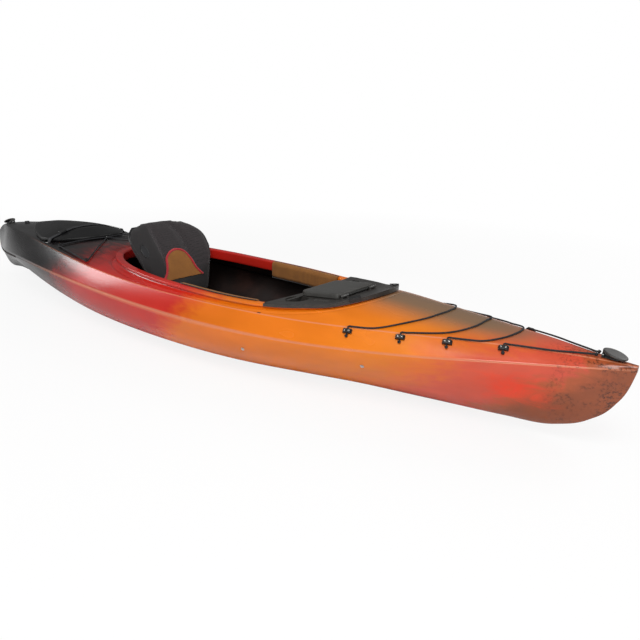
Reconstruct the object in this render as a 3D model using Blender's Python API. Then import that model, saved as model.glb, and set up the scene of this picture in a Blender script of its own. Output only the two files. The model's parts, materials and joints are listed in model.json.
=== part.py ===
"""Sit-in recreational kayak with its seat, foot braces, work deck, stern hatch and deck rigging.

The frame is +X towards the bow, +Y to port and +Z up, in metres. The origin is on the flat of the
keel, midway between bow and stern. Every piece is one solid in its own named object.
"""

import math

import bmesh
import bpy
import numpy as np
from mathutils import Matrix, Vector

# Hull: the overall sizes and the wall of the moulded shell
LENGTH = 3.81
BEAM = 0.787
WALL = 0.005
SEAM_GAP = 0.0003
FIT = 0.0005
KEEL_FLAT_HALF_WIDTH = 0.030
STATIONS = 36
LINING_STATIONS = 24

# Lines of the boat: (station, value), station -1 at the stern and 1 at the bow
CHINE_PLAN = [(-1, .02), (-.93, .17), (-.84, .356), (-.63, .653), (-.42, .862), (-.21, .975), (0, 1.0),
              (.21, .968), (.42, .849), (.63, .633), (.84, .333), (.95, .125), (1, .02)]
CHINE_HEIGHT = [(-1, .150), (-.84, .180), (-.63, .211), (-.42, .224), (-.21, .223), (0, .213),
                (.21, .209), (.42, .215), (.63, .239), (.84, .275), (1, .296)]
CREASE_INSET = [(-1, .0), (-.93, .030), (-.84, .036), (-.63, .052), (-.42, .057), (-.21, .048), (0, .039),
                (.21, .038), (.42, .042), (.63, .050), (.84, .048), (.95, .026), (1, .0)]
CREASE_HEIGHT = [(-1, .252), (-.965, .290), (-.92, .316), (-.84, .332), (-.63, .338), (-.42, .324),
                 (-.21, .303), (0, .288), (.21, .286), (.42, .289), (.63, .303), (.84, .315), (1, .309)]
DECK_CROWN = [(-1, .0), (-.84, .004), (-.63, .012), (-.42, .026), (-.31, .028), (-.21, .022),
              (0, .040), (.21, .056), (.42, .082), (.53, .080), (.63, .060), (.84, .014), (1, .0)]
KEEL_HEIGHT = [(-1, .145), (-.985, .120), (-.955, .080), (-.84, .063), (-.70, .036), (-.50, .0065),
               (-.42, .0012), (-.33, .0), (.0, .0), (.33, .0), (.42, .0015), (.55, .008), (.70, .024),
               (.80, .038), (.887, .058), (.94, .10), (.975, .165), (.993, .235), (1, .288)]
FULLNESS = [(-1, 1.1), (-.955, .8), (-.84, .95), (-.63, 1.34), (-.42, 1.80), (-.21, 2.35), (0, 2.55),
            (.21, 2.35), (.42, 1.70), (.52, 1.45), (.63, 1.38), (.84, 1.28), (1, 1.3)]

# Dish of the deck around the back of the cockpit
DISH_DEPTH = 0.012
DISH_REAR = -0.56
DISH_HALF_WIDTH = 0.35
DISH_FADE = 0.30

# Cockpit: the outer edge of the coaming's lip, and the coaming's section
LIP_MIDDLE = 0.30
LIP_FRONT = 1.03
LIP_REAR = -0.475
LIP_HALF_WIDTH = 0.325
LIP_FRONT_POWER = 2.0
LIP_REAR_POWER = 2.8
LIP_HEIGHT = [(-.475, .352), (-.30, .336), (0, .322), (.30, .3165), (.50, .3145), (.62, .3160), (.70, .3205),
              (.80, .3305), (.90, .3432), (.946, .3564), (.983, .3685), (1.009, .3780), (1.04, .3905)]
LIP_WIDTH = 0.036
LIP_DEPTH = 0.011
COAMING_WALL_DEPTH = 0.045
COAMING_FOOT = 0.012
COAMING_WALL = 0.005
RING_POINTS = 52

# Stern hatch
HATCH_MIDDLE = -1.00
HATCH_FRONT = -0.775
HATCH_REAR = -1.42
HATCH_HALF_WIDTH = 0.228
HATCH_FRONT_POWER = 2.0
HATCH_REAR_POWER = 1.25
HATCH_RIM_HEIGHT = 0.008
HATCH_RIM_WALL = 0.004
HATCH_SKIRT_GAP = 0.003
HATCH_COVER_WALL = 0.004
HATCH_DOME = 0.047
HATCH_RING_POINTS = 32
HATCH_REAR_STEP = 2.0
HATCH_SIDE_STEP = 1.1
HATCH_COVER_FORM = [(1.0, .345), (.96, .42), (.56, .93), (.50, .965), (.25, .99)]
GASKET_WIDTH = 0.008
GASKET_THICKNESS = 0.003
STRAP_AT = -0.930
STRAP_WIDTH = 0.025
STRAP_THICKNESS = 0.0016
STRAP_REACH = 0.250
STRAP_BUCKLE = (0.036, 0.030, 0.006)

# Bulkhead between the cockpit and the stern compartment
BULKHEAD_AT = -0.66
BULKHEAD_THICKNESS = 0.025

# Deck cords, and the cleats, posts and link that hold them
CORD_DIAMETER = 0.006
CORD_RISE = 0.0046
CORD_SPACING = 0.022
KNOT_SWELL = 1.55
CLEAT_LENGTH = 0.034
CLEAT_WIDTH = 0.016
CLEAT_HEIGHT = 0.013
CLEAT_SLOT = 0.0078
CLEAT_DROP = 0.016
BOW_CLEATS = (1.011, 1.197, 1.351, 1.524)
BOW_CORDS = (
    [(1.119, .212), (1.229, .123), (1.272, .049), (1.280, 0)],
    [(1.336, .142), (1.399, .076), (1.413, 0)],
    [(1.452, .128), (1.515, .072), (1.536, 0)],
)
BOW_TIE = [(1.640, .075), (1.727, .037), (1.776, .0150)]
POST_REAR = (-0.806, 0.242)
POST_FRONT = (-0.490, 0.300)
POST_STEM_RADIUS = 0.0035
POST_CAP_RADIUS = 0.0085
POST_HEIGHT = 0.014
POST_BASE_THICKNESS = 0.0010
STERN_CORD_RISE = 0.0066
LOOP_MEETING = -0.757
LINK_PITCH = 0.009
LINK_WIRE_RADIUS = 0.0007

# Carry handles
BOW_HANDLE_AT = 1.803
STERN_HANDLE_AT = -1.735
HANDLE_BASE_LENGTH = 0.050
HANDLE_BASE_WIDTH = 0.030
HANDLE_BASE_THICKNESS = 0.003
HANDLE_LUG_THICKNESS = 0.0045
HANDLE_LUG_RADIUS = 0.0042
HANDLE_AXLE_RADIUS = 0.0020
HANDLE_AXLE_HEIGHT = 0.009
HANDLE_BARREL_RADIUS = 0.0050
HANDLE_DISC_LENGTH = 0.078
HANDLE_DISC_WIDTH = 0.064
HANDLE_DISC_THICKNESS = 0.009
HANDLE_DISC_TILT = math.radians(11)
HANDLE_DISC_BACK = 0.006
HANDLE_DISC_RISE = 0.0215

# Drain plug on the stern deck
PLUG_AT = -1.560
PLUG_KNOB_RADIUS = 0.015
PLUG_KNOB_HEIGHT = 0.010
PLUG_SLOT = (0.030, 0.005, 0.003)
PLUG_SHANK_RADIUS = 0.008
PLUG_SHANK_LENGTH = 0.018

# Seat: frame, cushion and back
SEAT_REAR = -0.215
SEAT_FRONT = 0.215
SEAT_HALF_WIDTH = 0.195
SEAT_DECK_HEIGHT = 0.085
SEAT_DECK_THICKNESS = 0.008
SEAT_LEG_THICKNESS = 0.014
SEAT_FLOOR_GAP = 0.004
CUSHION_REAR = -0.100
CUSHION_FRONT = 0.208
CUSHION_HALF_WIDTH = 0.182
CUSHION_THICKNESS = 0.040
CUSHION_DISH = 0.010
BACK_PIVOT = (-0.165, 0.112)
BACK_ROD_RADIUS = 0.005
BACK_ROD_HALF_LENGTH = 0.182
BACK_BARREL_RADIUS = 0.0085
BACK_BARREL_HALF_LENGTH = 0.160
BACK_LUG_THICKNESS = 0.015
BACK_LINE = [(.11, -.120), (.15, -.131), (.20, -.145), (.276, -.168), (.364, -.206), (.42, -.250),
             (.472, -.300), (.505, -.332)]
BACK_HALF_WIDTHS = [(.11, .145), (.20, .172), (.276, .198), (.34, .222), (.385, .230), (.42, .224),
                    (.453, .198), (.476, .148), (.488, .080)]
BACK_WRAP = 0.035
BACK_PAD_THICKNESS = 0.033
BACK_PAD_EDGE = 0.010
BACK_PAD_HEIGHTS = (.150, .165, .20, .24, .28, .32, .345, .365, .39, .415, .44, .458, .472, .483, .488)
BACK_GROOVE_AT = 0.33
BACK_GROOVE_WIDTH = 0.055
BACK_GROOVE_DEPTH = 0.009
BACK_FRAME_THICKNESS = 0.006
BACK_FRAME_HEIGHTS = (.112, .15, .20, .26, .32, .37, .405, .435, .458, .474)
PANEL_BOTTOM = 0.200
PANEL_TOP = 0.364
PANEL_HALF_WIDTH = 0.112
PANEL_THICKNESS = 0.005
BUCKLE_SIZE = (0.060, 0.028, 0.007)
BUCKLE_AT = (0.180, 0.305)

# Thigh pads over the coaming and down its inner wall
THIGH_PAD_REAR = 0.18
THIGH_PAD_FRONT = 0.60
THIGH_PAD_THICKNESS = 0.013
THIGH_PAD_FLANGE = 0.005
THIGH_PAD_FLANGE_EDGE = 0.027
THIGH_PAD_DEPTH = 0.075

# Foot braces: a rail each side, screwed through the hull, with a peg that slides along it
RAIL_REAR = (0.588, 0.139)
RAIL_FRONT = (1.075, 0.165)
RAIL_STANDOFF = 0.010
RAIL_HEIGHT = 0.028
RAIL_THICKNESS = 0.009
RAIL_OVERHANG = 0.018
RAIL_BOSS_RADIUS = 0.008
SCREW_HEAD_RADIUS = 0.008
SCREW_HEAD_HEIGHT = 0.003
SCREW_RADIUS = 0.0028
SCREW_HOLE_RADIUS = 0.0036
PEG_PLACE = 0.24
PEG_LENGTH = 0.052
PEG_WALL = 0.004
PEG_PEDAL = (0.009, 0.105, 0.080)
PEG_PEDAL_LIFT = 0.020

# Work deck over the front of the coaming, with a dry box under a lid and a cup each side
TRAY_REAR = 0.640
TRAY_OVERHANG = 0.0042
TRAY_THICKNESS = 0.005
TRAY_SKIRT = (0.0014, 0.0048)
TRAY_SKIRT_DROP = 0.008
TRAY_SEAT_GAP = 0.0016
TRAY_REAR_HOLLOW = 0.028
WELL_REAR = 0.705
WELL_FRONT = 0.852
WELL_HALF_WIDTH = 0.108
WELL_DEPTH = 0.065
WELL_WALL = 0.003
CUP_AT = (0.716, 0.176)
CUP_RADIUS = 0.0465
CUP_DEPTH = 0.055
CUP_BAR = (0.010, 0.094, 0.003)
CUP_BAR_BEHIND = 0.014
LID_MIDDLE = 0.779
LID_SIZE = (0.186, 0.248, 0.018)
LID_CORNERS = (0.030, 0.018)
LID_CROWN = 0.0022
LID_WALL = 0.003
LID_SEAT_GAP = 0.0026
LID_HINGE_AHEAD = 0.101
LID_HINGE_HEIGHT = 0.0072
LID_BARREL_RADIUS = 0.0060
LID_BARREL_LENGTH = 0.022
LID_BARREL_AT = 0.095
LID_LUG_LENGTH = 0.012
LID_LUG_STEP = 0.0178
LID_PIN_RADIUS = 0.0030
LID_PIN_HALF_LENGTH = 0.118
LATCH_BEHIND = 0.110
LATCH_BOSS_RADIUS = 0.006
LATCH_TAB = (0.016, 0.016, 0.003)
LATCH_FLANGE = (0.014, 0.040, 0.003)
CLIP_AT = 0.960
CLIP_LENGTH = 0.044
CLIP_THICKNESS = 0.004
CLIP_DROP = 0.012

# Finishes: colour, roughness, metallic
SHELL_PLASTIC = ("shell_plastic", (0.80, 0.30, 0.08), 0.30, 0.0)
BLACK_PLASTIC = ("black_plastic", (0.03, 0.03, 0.03), 0.45, 0.0)
GREY_PLASTIC = ("grey_plastic", (0.10, 0.10, 0.10), 0.50, 0.0)
RUBBER = ("rubber", (0.02, 0.02, 0.02), 0.80, 0.0)
WEBBING = ("webbing", (0.02, 0.02, 0.02), 0.90, 0.0)
FOAM = ("foam", (0.05, 0.05, 0.055), 0.95, 0.0)
STEEL = ("stainless_steel", (0.60, 0.60, 0.58), 0.30, 1.0)
CORD = ("shock_cord", (0.02, 0.02, 0.02), 0.85, 0.0)
FABRIC = ("black_fabric", (0.035, 0.032, 0.035), 0.90, 0.0)
TAN_FABRIC = ("tan_fabric", (0.45, 0.28, 0.10), 0.85, 0.0)


def fair(points):
    """A smooth curve through (place, value) points, straight outside them."""
    places = np.array([p[0] for p in points], float)
    values = np.array([p[1] for p in points], float)
    steps = np.diff(places)
    slopes = np.diff(values) / steps
    tangents = np.empty(len(places))
    tangents[0], tangents[-1] = slopes[0], slopes[-1]
    inner = (steps[1:] * slopes[:-1] + steps[:-1] * slopes[1:]) / (steps[1:] + steps[:-1])
    tangents[1:-1] = inner

    def value(place):
        clipped = min(max(float(place), places[0]), places[-1])
        i = min(max(int(np.searchsorted(places, clipped)) - 1, 0), len(steps) - 1)
        t = (clipped - places[i]) / steps[i]
        start = (1 + 2 * t) * (1 - t) ** 2 * values[i] + t * (1 - t) ** 2 * steps[i] * tangents[i]
        end = t * t * (3 - 2 * t) * values[i + 1] + t * t * (t - 1) * steps[i] * tangents[i + 1]
        return float(start + end)

    return value


chine_plan = fair(CHINE_PLAN)
chine_height = fair(CHINE_HEIGHT)
crease_inset = fair(CREASE_INSET)
crease_height = fair(CREASE_HEIGHT)
deck_crown = fair(DECK_CROWN)
fair_keel = fair(KEEL_HEIGHT)
fullness = fair(FULLNESS)
lip_height = fair(LIP_HEIGHT)


def station(x):
    return x / (LENGTH / 2)


def keel_height(place):
    """Height of the keel, which is flat along the middle where the kayak rests."""
    return max(fair_keel(place), 0.0)


def smooth_step(t):
    t = min(max(t, 0.0), 1.0)
    return t * t * (3 - 2 * t)


# Surfaces of the boat

def chine(x):
    """Half-breadth and height of the widest line, where deck and hull meet."""
    return max(chine_plan(station(x)), 0.015) * BEAM / 2, chine_height(station(x))


def crease(x):
    """Half-breadth and height of the edge of the deck panel."""
    half_breadth = chine(x)[0] - crease_inset(station(x))
    return max(half_breadth, 0.004), crease_height(station(x))


def deck_height(x, y):
    """Height of the deck's outer face, carried on level outside the crease."""
    half_breadth, edge_height = crease(x)
    across = min(abs(y) / half_breadth, 1.0)
    height = edge_height + deck_crown(station(x)) * (1 - across ** 2)
    along = (LIP_MIDDLE - x) / (LIP_MIDDLE - DISH_REAR)
    if along > 0:
        inside = 1 - along ** 2.6 - (abs(y) / DISH_HALF_WIDTH) ** 2.6
        height -= DISH_DEPTH * smooth_step(inside / 0.22) * smooth_step(along / DISH_FADE - 0.6)
    return height


def hull_section(x, angle):
    """A point of the hull's outer section: angle 0 at the edge of the keel flat, 90 degrees at the chine."""
    half_breadth, top = chine(x)
    flat = min(KEEL_FLAT_HALF_WIDTH, half_breadth * 0.3)
    keel = min(keel_height(station(x)), top - 0.004)
    power = 2 / fullness(station(x))
    y = flat + (half_breadth - flat) * math.sin(angle) ** power
    z = keel + (top - keel) * (1 - max(math.cos(angle), 0.0) ** power)
    return y, z


def hull_half_breadth(x, z):
    """Half-breadth of the hull's outer face at a height below the chine."""
    half_breadth, top = chine(x)
    flat = min(KEEL_FLAT_HALF_WIDTH, half_breadth * 0.3)
    keel = keel_height(station(x))
    power = 2 / fullness(station(x))
    risen = min(max((z - keel) / (top - keel), 0.0), 1.0)
    cosine = (1 - risen) ** (1 / power)
    return flat + (half_breadth - flat) * (1 - cosine ** 2) ** (power / 2)


def hull_floor(x, y):
    """Height of the hull's outer face under a point of its floor."""
    low, high = 0.0, math.pi / 2
    for _ in range(40):
        middle = (low + high) / 2
        if hull_section(x, middle)[0] < abs(y):
            low = middle
        else:
            high = middle
    return hull_section(x, low)[1]


def hull_normal(x, z, side):
    """Outward unit normal of the hull's side."""
    step = 0.004
    along = (hull_half_breadth(x + step, z) - hull_half_breadth(x - step, z)) / (2 * step)
    up = (hull_half_breadth(x, z + step) - hull_half_breadth(x, z - step)) / (2 * step)
    return Vector((-along, side, -up)).normalized()


# Small geometry tools

def outline(middle, front, rear, half_width, front_power, rear_power, count):
    """Points of a boat-shaped oval, anticlockwise from its front end."""
    points = []
    for i in range(count):
        angle = 2 * math.pi * i / count
        c, s = math.cos(angle), math.sin(angle)
        reach, power = (front - middle, front_power) if c >= 0 else (middle - rear, rear_power)
        x = middle + reach * math.copysign(abs(c) ** (2 / power), c)
        y = half_width * math.copysign(abs(s) ** (2 / power), s)
        points.append(Vector((x, y)))
    return points


def outward(points):
    """Unit normals of a closed anticlockwise outline."""
    normals = []
    for i in range(len(points)):
        run = points[(i + 1) % len(points)] - points[i - 1]
        normals.append(Vector((run.y, -run.x)).normalized())
    return normals


def grown(points, distance):
    return [p + n * distance for p, n in zip(points, outward(points))]


def lip_outline(distance=0.0):
    points = outline(LIP_MIDDLE, LIP_FRONT, LIP_REAR, LIP_HALF_WIDTH, LIP_FRONT_POWER,
                     LIP_REAR_POWER, RING_POINTS)
    return grown(points, distance)


def lip_half_width(x):
    """Half-width of the lip's outer edge ahead of the cockpit's middle."""
    along = min(max((x - LIP_MIDDLE) / (LIP_FRONT - LIP_MIDDLE), 0.0), 1.0)
    return LIP_HALF_WIDTH * (1 - along ** LIP_FRONT_POWER) ** (1 / LIP_FRONT_POWER)


def hatch_outline(distance=0.0):
    """The hatch's outline, grown by a distance. Its pointed rear end moves further than its front."""
    return outline(HATCH_MIDDLE, HATCH_FRONT + distance, HATCH_REAR - HATCH_REAR_STEP * distance,
                   HATCH_HALF_WIDTH + HATCH_SIDE_STEP * distance, HATCH_FRONT_POWER, HATCH_REAR_POWER,
                   HATCH_RING_POINTS)


def collection(name):
    made = bpy.data.collections.new(name)
    bpy.context.scene.collection.children.link(made)
    return made


def material(finish):
    name, colour, roughness, metallic = finish
    if name in bpy.data.materials:
        return bpy.data.materials[name]
    made = bpy.data.materials.new(name)
    made.use_nodes = True
    shader = made.node_tree.nodes["Principled BSDF"]
    shader.inputs["Base Color"].default_value = (*colour, 1)
    shader.inputs["Roughness"].default_value = roughness
    shader.inputs["Metallic"].default_value = metallic
    return made


def add_object(name, bm, finish, place=None, smooth=True):
    """Turns a bmesh into a named object of the kayak, with its faces pointing out."""
    bmesh.ops.remove_doubles(bm, verts=bm.verts, dist=1e-6)
    bmesh.ops.recalc_face_normals(bm, faces=bm.faces)
    mesh = bpy.data.meshes.new(name)
    bm.to_mesh(mesh)
    bm.free()
    if smooth:
        mesh.shade_smooth()
        mesh.set_sharp_from_angle(angle=math.radians(35))
    made = bpy.data.objects.new(name, mesh)
    bpy.data.collections["kayak"].objects.link(made)
    mesh.materials.append(material(finish))
    if place is not None:
        made.matrix_world = place
    return made


def as_cutter(made):
    bpy.data.collections["kayak"].objects.unlink(made)
    bpy.data.collections["cutters"].objects.link(made)
    made.hide_render = True
    made.display_type = 'WIRE'
    return made


def boolean(target, other, operation):
    modifier = target.modifiers.new(other.name, 'BOOLEAN')
    modifier.object = other
    modifier.operation = operation
    modifier.solver = 'EXACT'


def cut(target, other):
    boolean(target, as_cutter(other), 'DIFFERENCE')


def join(target, other):
    boolean(target, as_cutter(other), 'UNION')


def skin(rings, around=False, first_point=None, last_point=None):
    """A closed bmesh over rings of points. The ends are capped, closed on a point, or joined around."""
    bm = bmesh.new()
    loops = [[bm.verts.new(p) for p in ring] for ring in rings]
    count = len(loops[0])
    pairs = list(zip(loops, loops[1:]))
    if around:
        pairs.append((loops[-1], loops[0]))
    for low, high in pairs:
        for i in range(count):
            j = (i + 1) % count
            bm.faces.new((low[i], low[j], high[j], high[i]))
    if not around:
        for loop, point in ((loops[0], first_point), (loops[-1], last_point)):
            if point is None:
                bm.faces.new(loop)
                continue
            tip = bm.verts.new(point)
            for i in range(count):
                bm.faces.new((loop[i], loop[(i + 1) % count], tip))
    return bm


def box_mesh(size, centre=(0, 0, 0), bevel=0.0, segments=2):
    bm = bmesh.new()
    bmesh.ops.create_cube(bm, size=1.0)
    bmesh.ops.scale(bm, vec=size, verts=bm.verts)
    bmesh.ops.translate(bm, vec=centre, verts=bm.verts)
    if bevel:
        bmesh.ops.bevel(bm, geom=bm.edges[:], offset=bevel, segments=segments, affect='EDGES', profile=0.5)
    return bm


def cylinder_mesh(radius, length, centre=(0, 0, 0), axis='Z', segments=16, far_radius=None):
    bm = bmesh.new()
    bmesh.ops.create_cone(bm, cap_ends=True, segments=segments, radius1=radius,
                          radius2=radius if far_radius is None else far_radius, depth=length)
    turn = {'X': Matrix.Rotation(math.pi / 2, 4, 'Y'), 'Y': Matrix.Rotation(math.pi / 2, 4, 'X'),
            'Z': Matrix.Identity(4)}[axis]
    bmesh.ops.transform(bm, matrix=turn, verts=bm.verts)
    bmesh.ops.translate(bm, vec=centre, verts=bm.verts)
    return bm


def prism_mesh(points, low, high):
    return skin([[(p.x, p.y, low) for p in points], [(p.x, p.y, high) for p in points]])


def frame_at(origin, x_axis, z_axis):
    """A placing matrix with its z on z_axis and its x as near x_axis as that allows."""
    z = Vector(z_axis).normalized()
    y = z.cross(Vector(x_axis)).normalized()
    x = y.cross(z)
    place = Matrix((x, y, z)).transposed().to_4x4()
    place.translation = origin
    return place


def pivot(name, location, direction=None):
    """An empty on a joint's axis, which the moving pieces are parented to."""
    made = bpy.data.objects.new(name, None)
    made.empty_display_size = 0.05
    made.location = location
    if direction is not None:
        made.rotation_euler = Vector(direction).to_track_quat('X', 'Z').to_euler()
    bpy.data.collections["kayak"].objects.link(made)
    bpy.context.view_layer.update()
    return made


def hang(parent, *pieces):
    for piece in pieces:
        piece.parent = parent
        piece.matrix_parent_inverse = parent.matrix_world.inverted()


def tube(name, points, finish, closed=False):
    """A cord of the deck rigging through the given points."""
    data = bpy.data.curves.new(name, 'CURVE')
    data.dimensions = '3D'
    data.bevel_depth = CORD_DIAMETER / 2
    data.bevel_resolution = 2
    data.use_fill_caps = not closed
    spline = data.splines.new('POLY')
    spline.points.add(len(points) - 1)
    for point, place in zip(spline.points, points):
        point.co = (*place, 1)
    spline.use_cyclic_u = closed
    made = bpy.data.objects.new(name, data)
    data.materials.append(material(finish))
    bpy.data.collections["kayak"].objects.link(made)
    return made


def smooth_route(points, spacing):
    """Points at an even spacing on a Catmull-Rom curve through the route's own points."""
    route = [Vector(p) for p in points]
    ends = [2 * route[0] - route[1]] + route + [2 * route[-1] - route[-2]]
    dense = []
    for before, start, end, after in zip(ends, ends[1:], ends[2:], ends[3:]):
        for step in range(12):
            t = step / 12
            dense.append(0.5 * ((2 * start) + (end - before) * t
                                + (2 * before - 5 * start + 4 * end - after) * t ** 2
                                + (3 * start - before - 3 * end + after) * t ** 3))
    dense.append(route[-1])
    lengths = [0.0]
    for start, end in zip(dense, dense[1:]):
        lengths.append(lengths[-1] + (end - start).length)
    count = max(round(lengths[-1] / spacing), 2)
    even = []
    for i in range(count + 1):
        goal = lengths[-1] * i / count
        j = min(max(int(np.searchsorted(lengths, goal)), 1), len(dense) - 1)
        share = (goal - lengths[j - 1]) / (lengths[j] - lengths[j - 1])
        even.append(dense[j - 1].lerp(dense[j], share))
    return even


# Shell: the hull below the chine and the deck above it

def shell_stations(count, end_margin=0.0):
    """Stations crowded towards the ends, where the lines turn fastest."""
    reach = LENGTH / 2 - end_margin
    return [-reach * math.cos(math.pi * i / count) * (1 - 0.12 * math.sin(math.pi * i / count) ** 2)
            for i in range(count + 1)]


def hull_ring(x, inset=0.0, rise=0.0, segments=8):
    """One closed section of the hull, port to starboard, moved in by inset, its top raised by rise."""
    half_breadth, top = chine(x)
    keel = min(keel_height(station(x)), top - 0.004)
    flat = min(KEEL_FLAT_HALF_WIDTH, half_breadth * 0.3)
    power = 2 / fullness(station(x))
    inner_flat = max(flat - inset, 0.002)
    inner_breadth = half_breadth - inset
    deepen = inset * math.hypot(1, (top - keel) / half_breadth)
    side = []
    for i in range(segments + 1):
        angle = math.pi / 2 * i / segments
        y = inner_flat + (inner_breadth - inner_flat) * math.sin(angle) ** power
        z = keel + deepen + (top - keel - deepen) * (1 - max(math.cos(angle), 0.0) ** power)
        side.append((y, z))
    if rise:
        side.append((inner_breadth, top + rise))
    port = [(x, y, z) for y, z in reversed(side)]
    starboard = [(x, -y, z) for y, z in side]
    return port + starboard


def deck_ring(x, inset=0.0, drop=0.0, segments=6):
    """One closed section of the deck, port to starboard over the top, moved in by inset."""
    half_breadth, seam = chine(x)
    edge, edge_height = crease(x)
    side = []
    if drop:
        side.append((half_breadth - inset, seam - drop))
    side.append((half_breadth - inset, seam + SEAM_GAP))
    bulge = 0.002 * (1 - inset / WALL)
    side.append(((half_breadth + edge) / 2 - inset + bulge, (seam + edge_height) / 2))
    side.append((edge - inset * 0.75, edge_height - inset * 0.6))
    for i in range(1, segments):
        y = (edge - inset * 0.75) * (1 - i / segments)
        side.append((y, deck_height(x, y) - inset))
    top = (x, 0.0, deck_height(x, 0.0) - inset)
    port = [(x, y, z) for y, z in side]
    starboard = [(x, -y, z) for y, z in reversed(side)]
    return port + [top] + starboard


def lining_stations():
    return shell_stations(LINING_STATIONS, 0.12)


def make_hull():
    stations = shell_stations(STATIONS)
    hull = add_object("hull", skin([hull_ring(x) for x in stations]), SHELL_PLASTIC)
    lining = skin([hull_ring(x, WALL, 0.03) for x in lining_stations()])
    cut(hull, add_object("hull_lining", lining, SHELL_PLASTIC))
    return hull


def coaming_mesh():
    """The raised rim of the cockpit: an inner wall, a lip and an outer wall, hollow from below."""
    edge = lip_outline()
    normals = outward(edge)
    rings = []
    for point, normal in zip(edge, normals):
        foot = point + normal * COAMING_FOOT
        base = deck_height(foot.x, foot.y)
        below_lip = [
            (-LIP_WIDTH, COAMING_WALL_DEPTH), (-LIP_WIDTH, 0.005), (-LIP_WIDTH + 0.005, 0.0), (-0.005, 0.0),
            (0.0, 0.004), (0.0, LIP_DEPTH), (-0.007, LIP_DEPTH + 0.002),
        ]
        back_to_lip = [
            (-0.007 - COAMING_WALL, LIP_DEPTH + 0.006), (-LIP_WIDTH + COAMING_WALL, 0.009),
            (-LIP_WIDTH + COAMING_WALL, COAMING_WALL_DEPTH),
        ]
        profile = [(o, lip_height(point.x + normal.x * o) - drop) for o, drop in below_lip]
        profile += [(COAMING_FOOT + 0.0025, base - 0.0035), (COAMING_FOOT - 0.0025, base - 0.0040)]
        profile += [(o, lip_height(point.x + normal.x * o) - drop) for o, drop in back_to_lip]
        rings.append([(point.x + normal.x * o, point.y + normal.y * o, z) for o, z in profile])
    return skin(rings, around=True)


def hatch_level(point):
    return deck_height(point.x, point.y)


def hatch_rim_mesh():
    """The upstand around the hatch opening, which the cover drops over."""
    outer = hatch_outline(-HATCH_COVER_WALL - HATCH_SKIRT_GAP)
    inner = hatch_outline(-HATCH_COVER_WALL - HATCH_SKIRT_GAP - HATCH_RIM_WALL)
    rings = []
    for out_point, in_point in zip(outer, inner):
        level = hatch_level(out_point)
        rings.append([
            (in_point.x, in_point.y, level - 0.009),
            (out_point.x, out_point.y, level - 0.003),
            (out_point.x, out_point.y, level + HATCH_RIM_HEIGHT),
            (in_point.x, in_point.y, level + HATCH_RIM_HEIGHT),
        ])
    return skin(rings, around=True)


def make_deck():
    stations = shell_stations(STATIONS)
    deck = add_object("deck", skin([deck_ring(x) for x in stations]), SHELL_PLASTIC)
    lining = skin([deck_ring(x, WALL, 0.03) for x in lining_stations()])
    cut(deck, add_object("deck_lining", lining, SHELL_PLASTIC))
    opening = prism_mesh(lip_outline(COAMING_FOOT - 0.001), 0.20, 0.60)
    cut(deck, add_object("cockpit_opening", opening, SHELL_PLASTIC))
    hatch_hole = prism_mesh(hatch_outline(-HATCH_COVER_WALL - HATCH_SKIRT_GAP - 0.7 * HATCH_RIM_WALL),
                            0.20, 0.60)
    cut(deck, add_object("hatch_opening", hatch_hole, SHELL_PLASTIC))
    join(deck, add_object("coaming", coaming_mesh(), SHELL_PLASTIC))
    join(deck, add_object("hatch_rim", hatch_rim_mesh(), SHELL_PLASTIC))
    plug_hole = cylinder_mesh(PLUG_SHANK_RADIUS + FIT, 0.1, (PLUG_AT, 0, deck_height(PLUG_AT, 0)))
    cut(deck, add_object("drain_hole", plug_hole, SHELL_PLASTIC))
    return deck


def make_bulkhead():
    """A plate that fills the section of the shell, a little clear of it all round."""
    rings = []
    clearance = WALL + 0.0035
    for x in (BULKHEAD_AT - BULKHEAD_THICKNESS / 2, BULKHEAD_AT + BULKHEAD_THICKNESS / 2):
        lower = hull_ring(x, clearance, 0.0, 6)
        upper = deck_ring(x, clearance, 0.0, 4)
        seam = len(lower) // 2
        bottom = lower[seam:] + lower[:seam]
        below_seam = [p for p in bottom if p[2] < chine(x)[1] - 0.002]
        starboard_up = [p for p in reversed(upper)]
        ring = [p for p in below_seam if p[1] < 0]
        ring += [p for p in starboard_up]
        ring += [p for p in below_seam if p[1] > 0]
        rings.append(ring)
    return add_object("stern_bulkhead", skin(rings), FOAM)


# Stern hatch

def hatch_ring(points, scale, rise):
    """The outline drawn in towards the hatch's middle, at a rise over the deck's own level there."""
    centre_level = deck_height(HATCH_MIDDLE, 0)
    ring = []
    for point in points:
        x = HATCH_MIDDLE + (point.x - HATCH_MIDDLE) * scale
        level = hatch_level(point) * scale + centre_level * (1 - scale)
        ring.append((x, point.y * scale, level + rise))
    return ring


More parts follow.
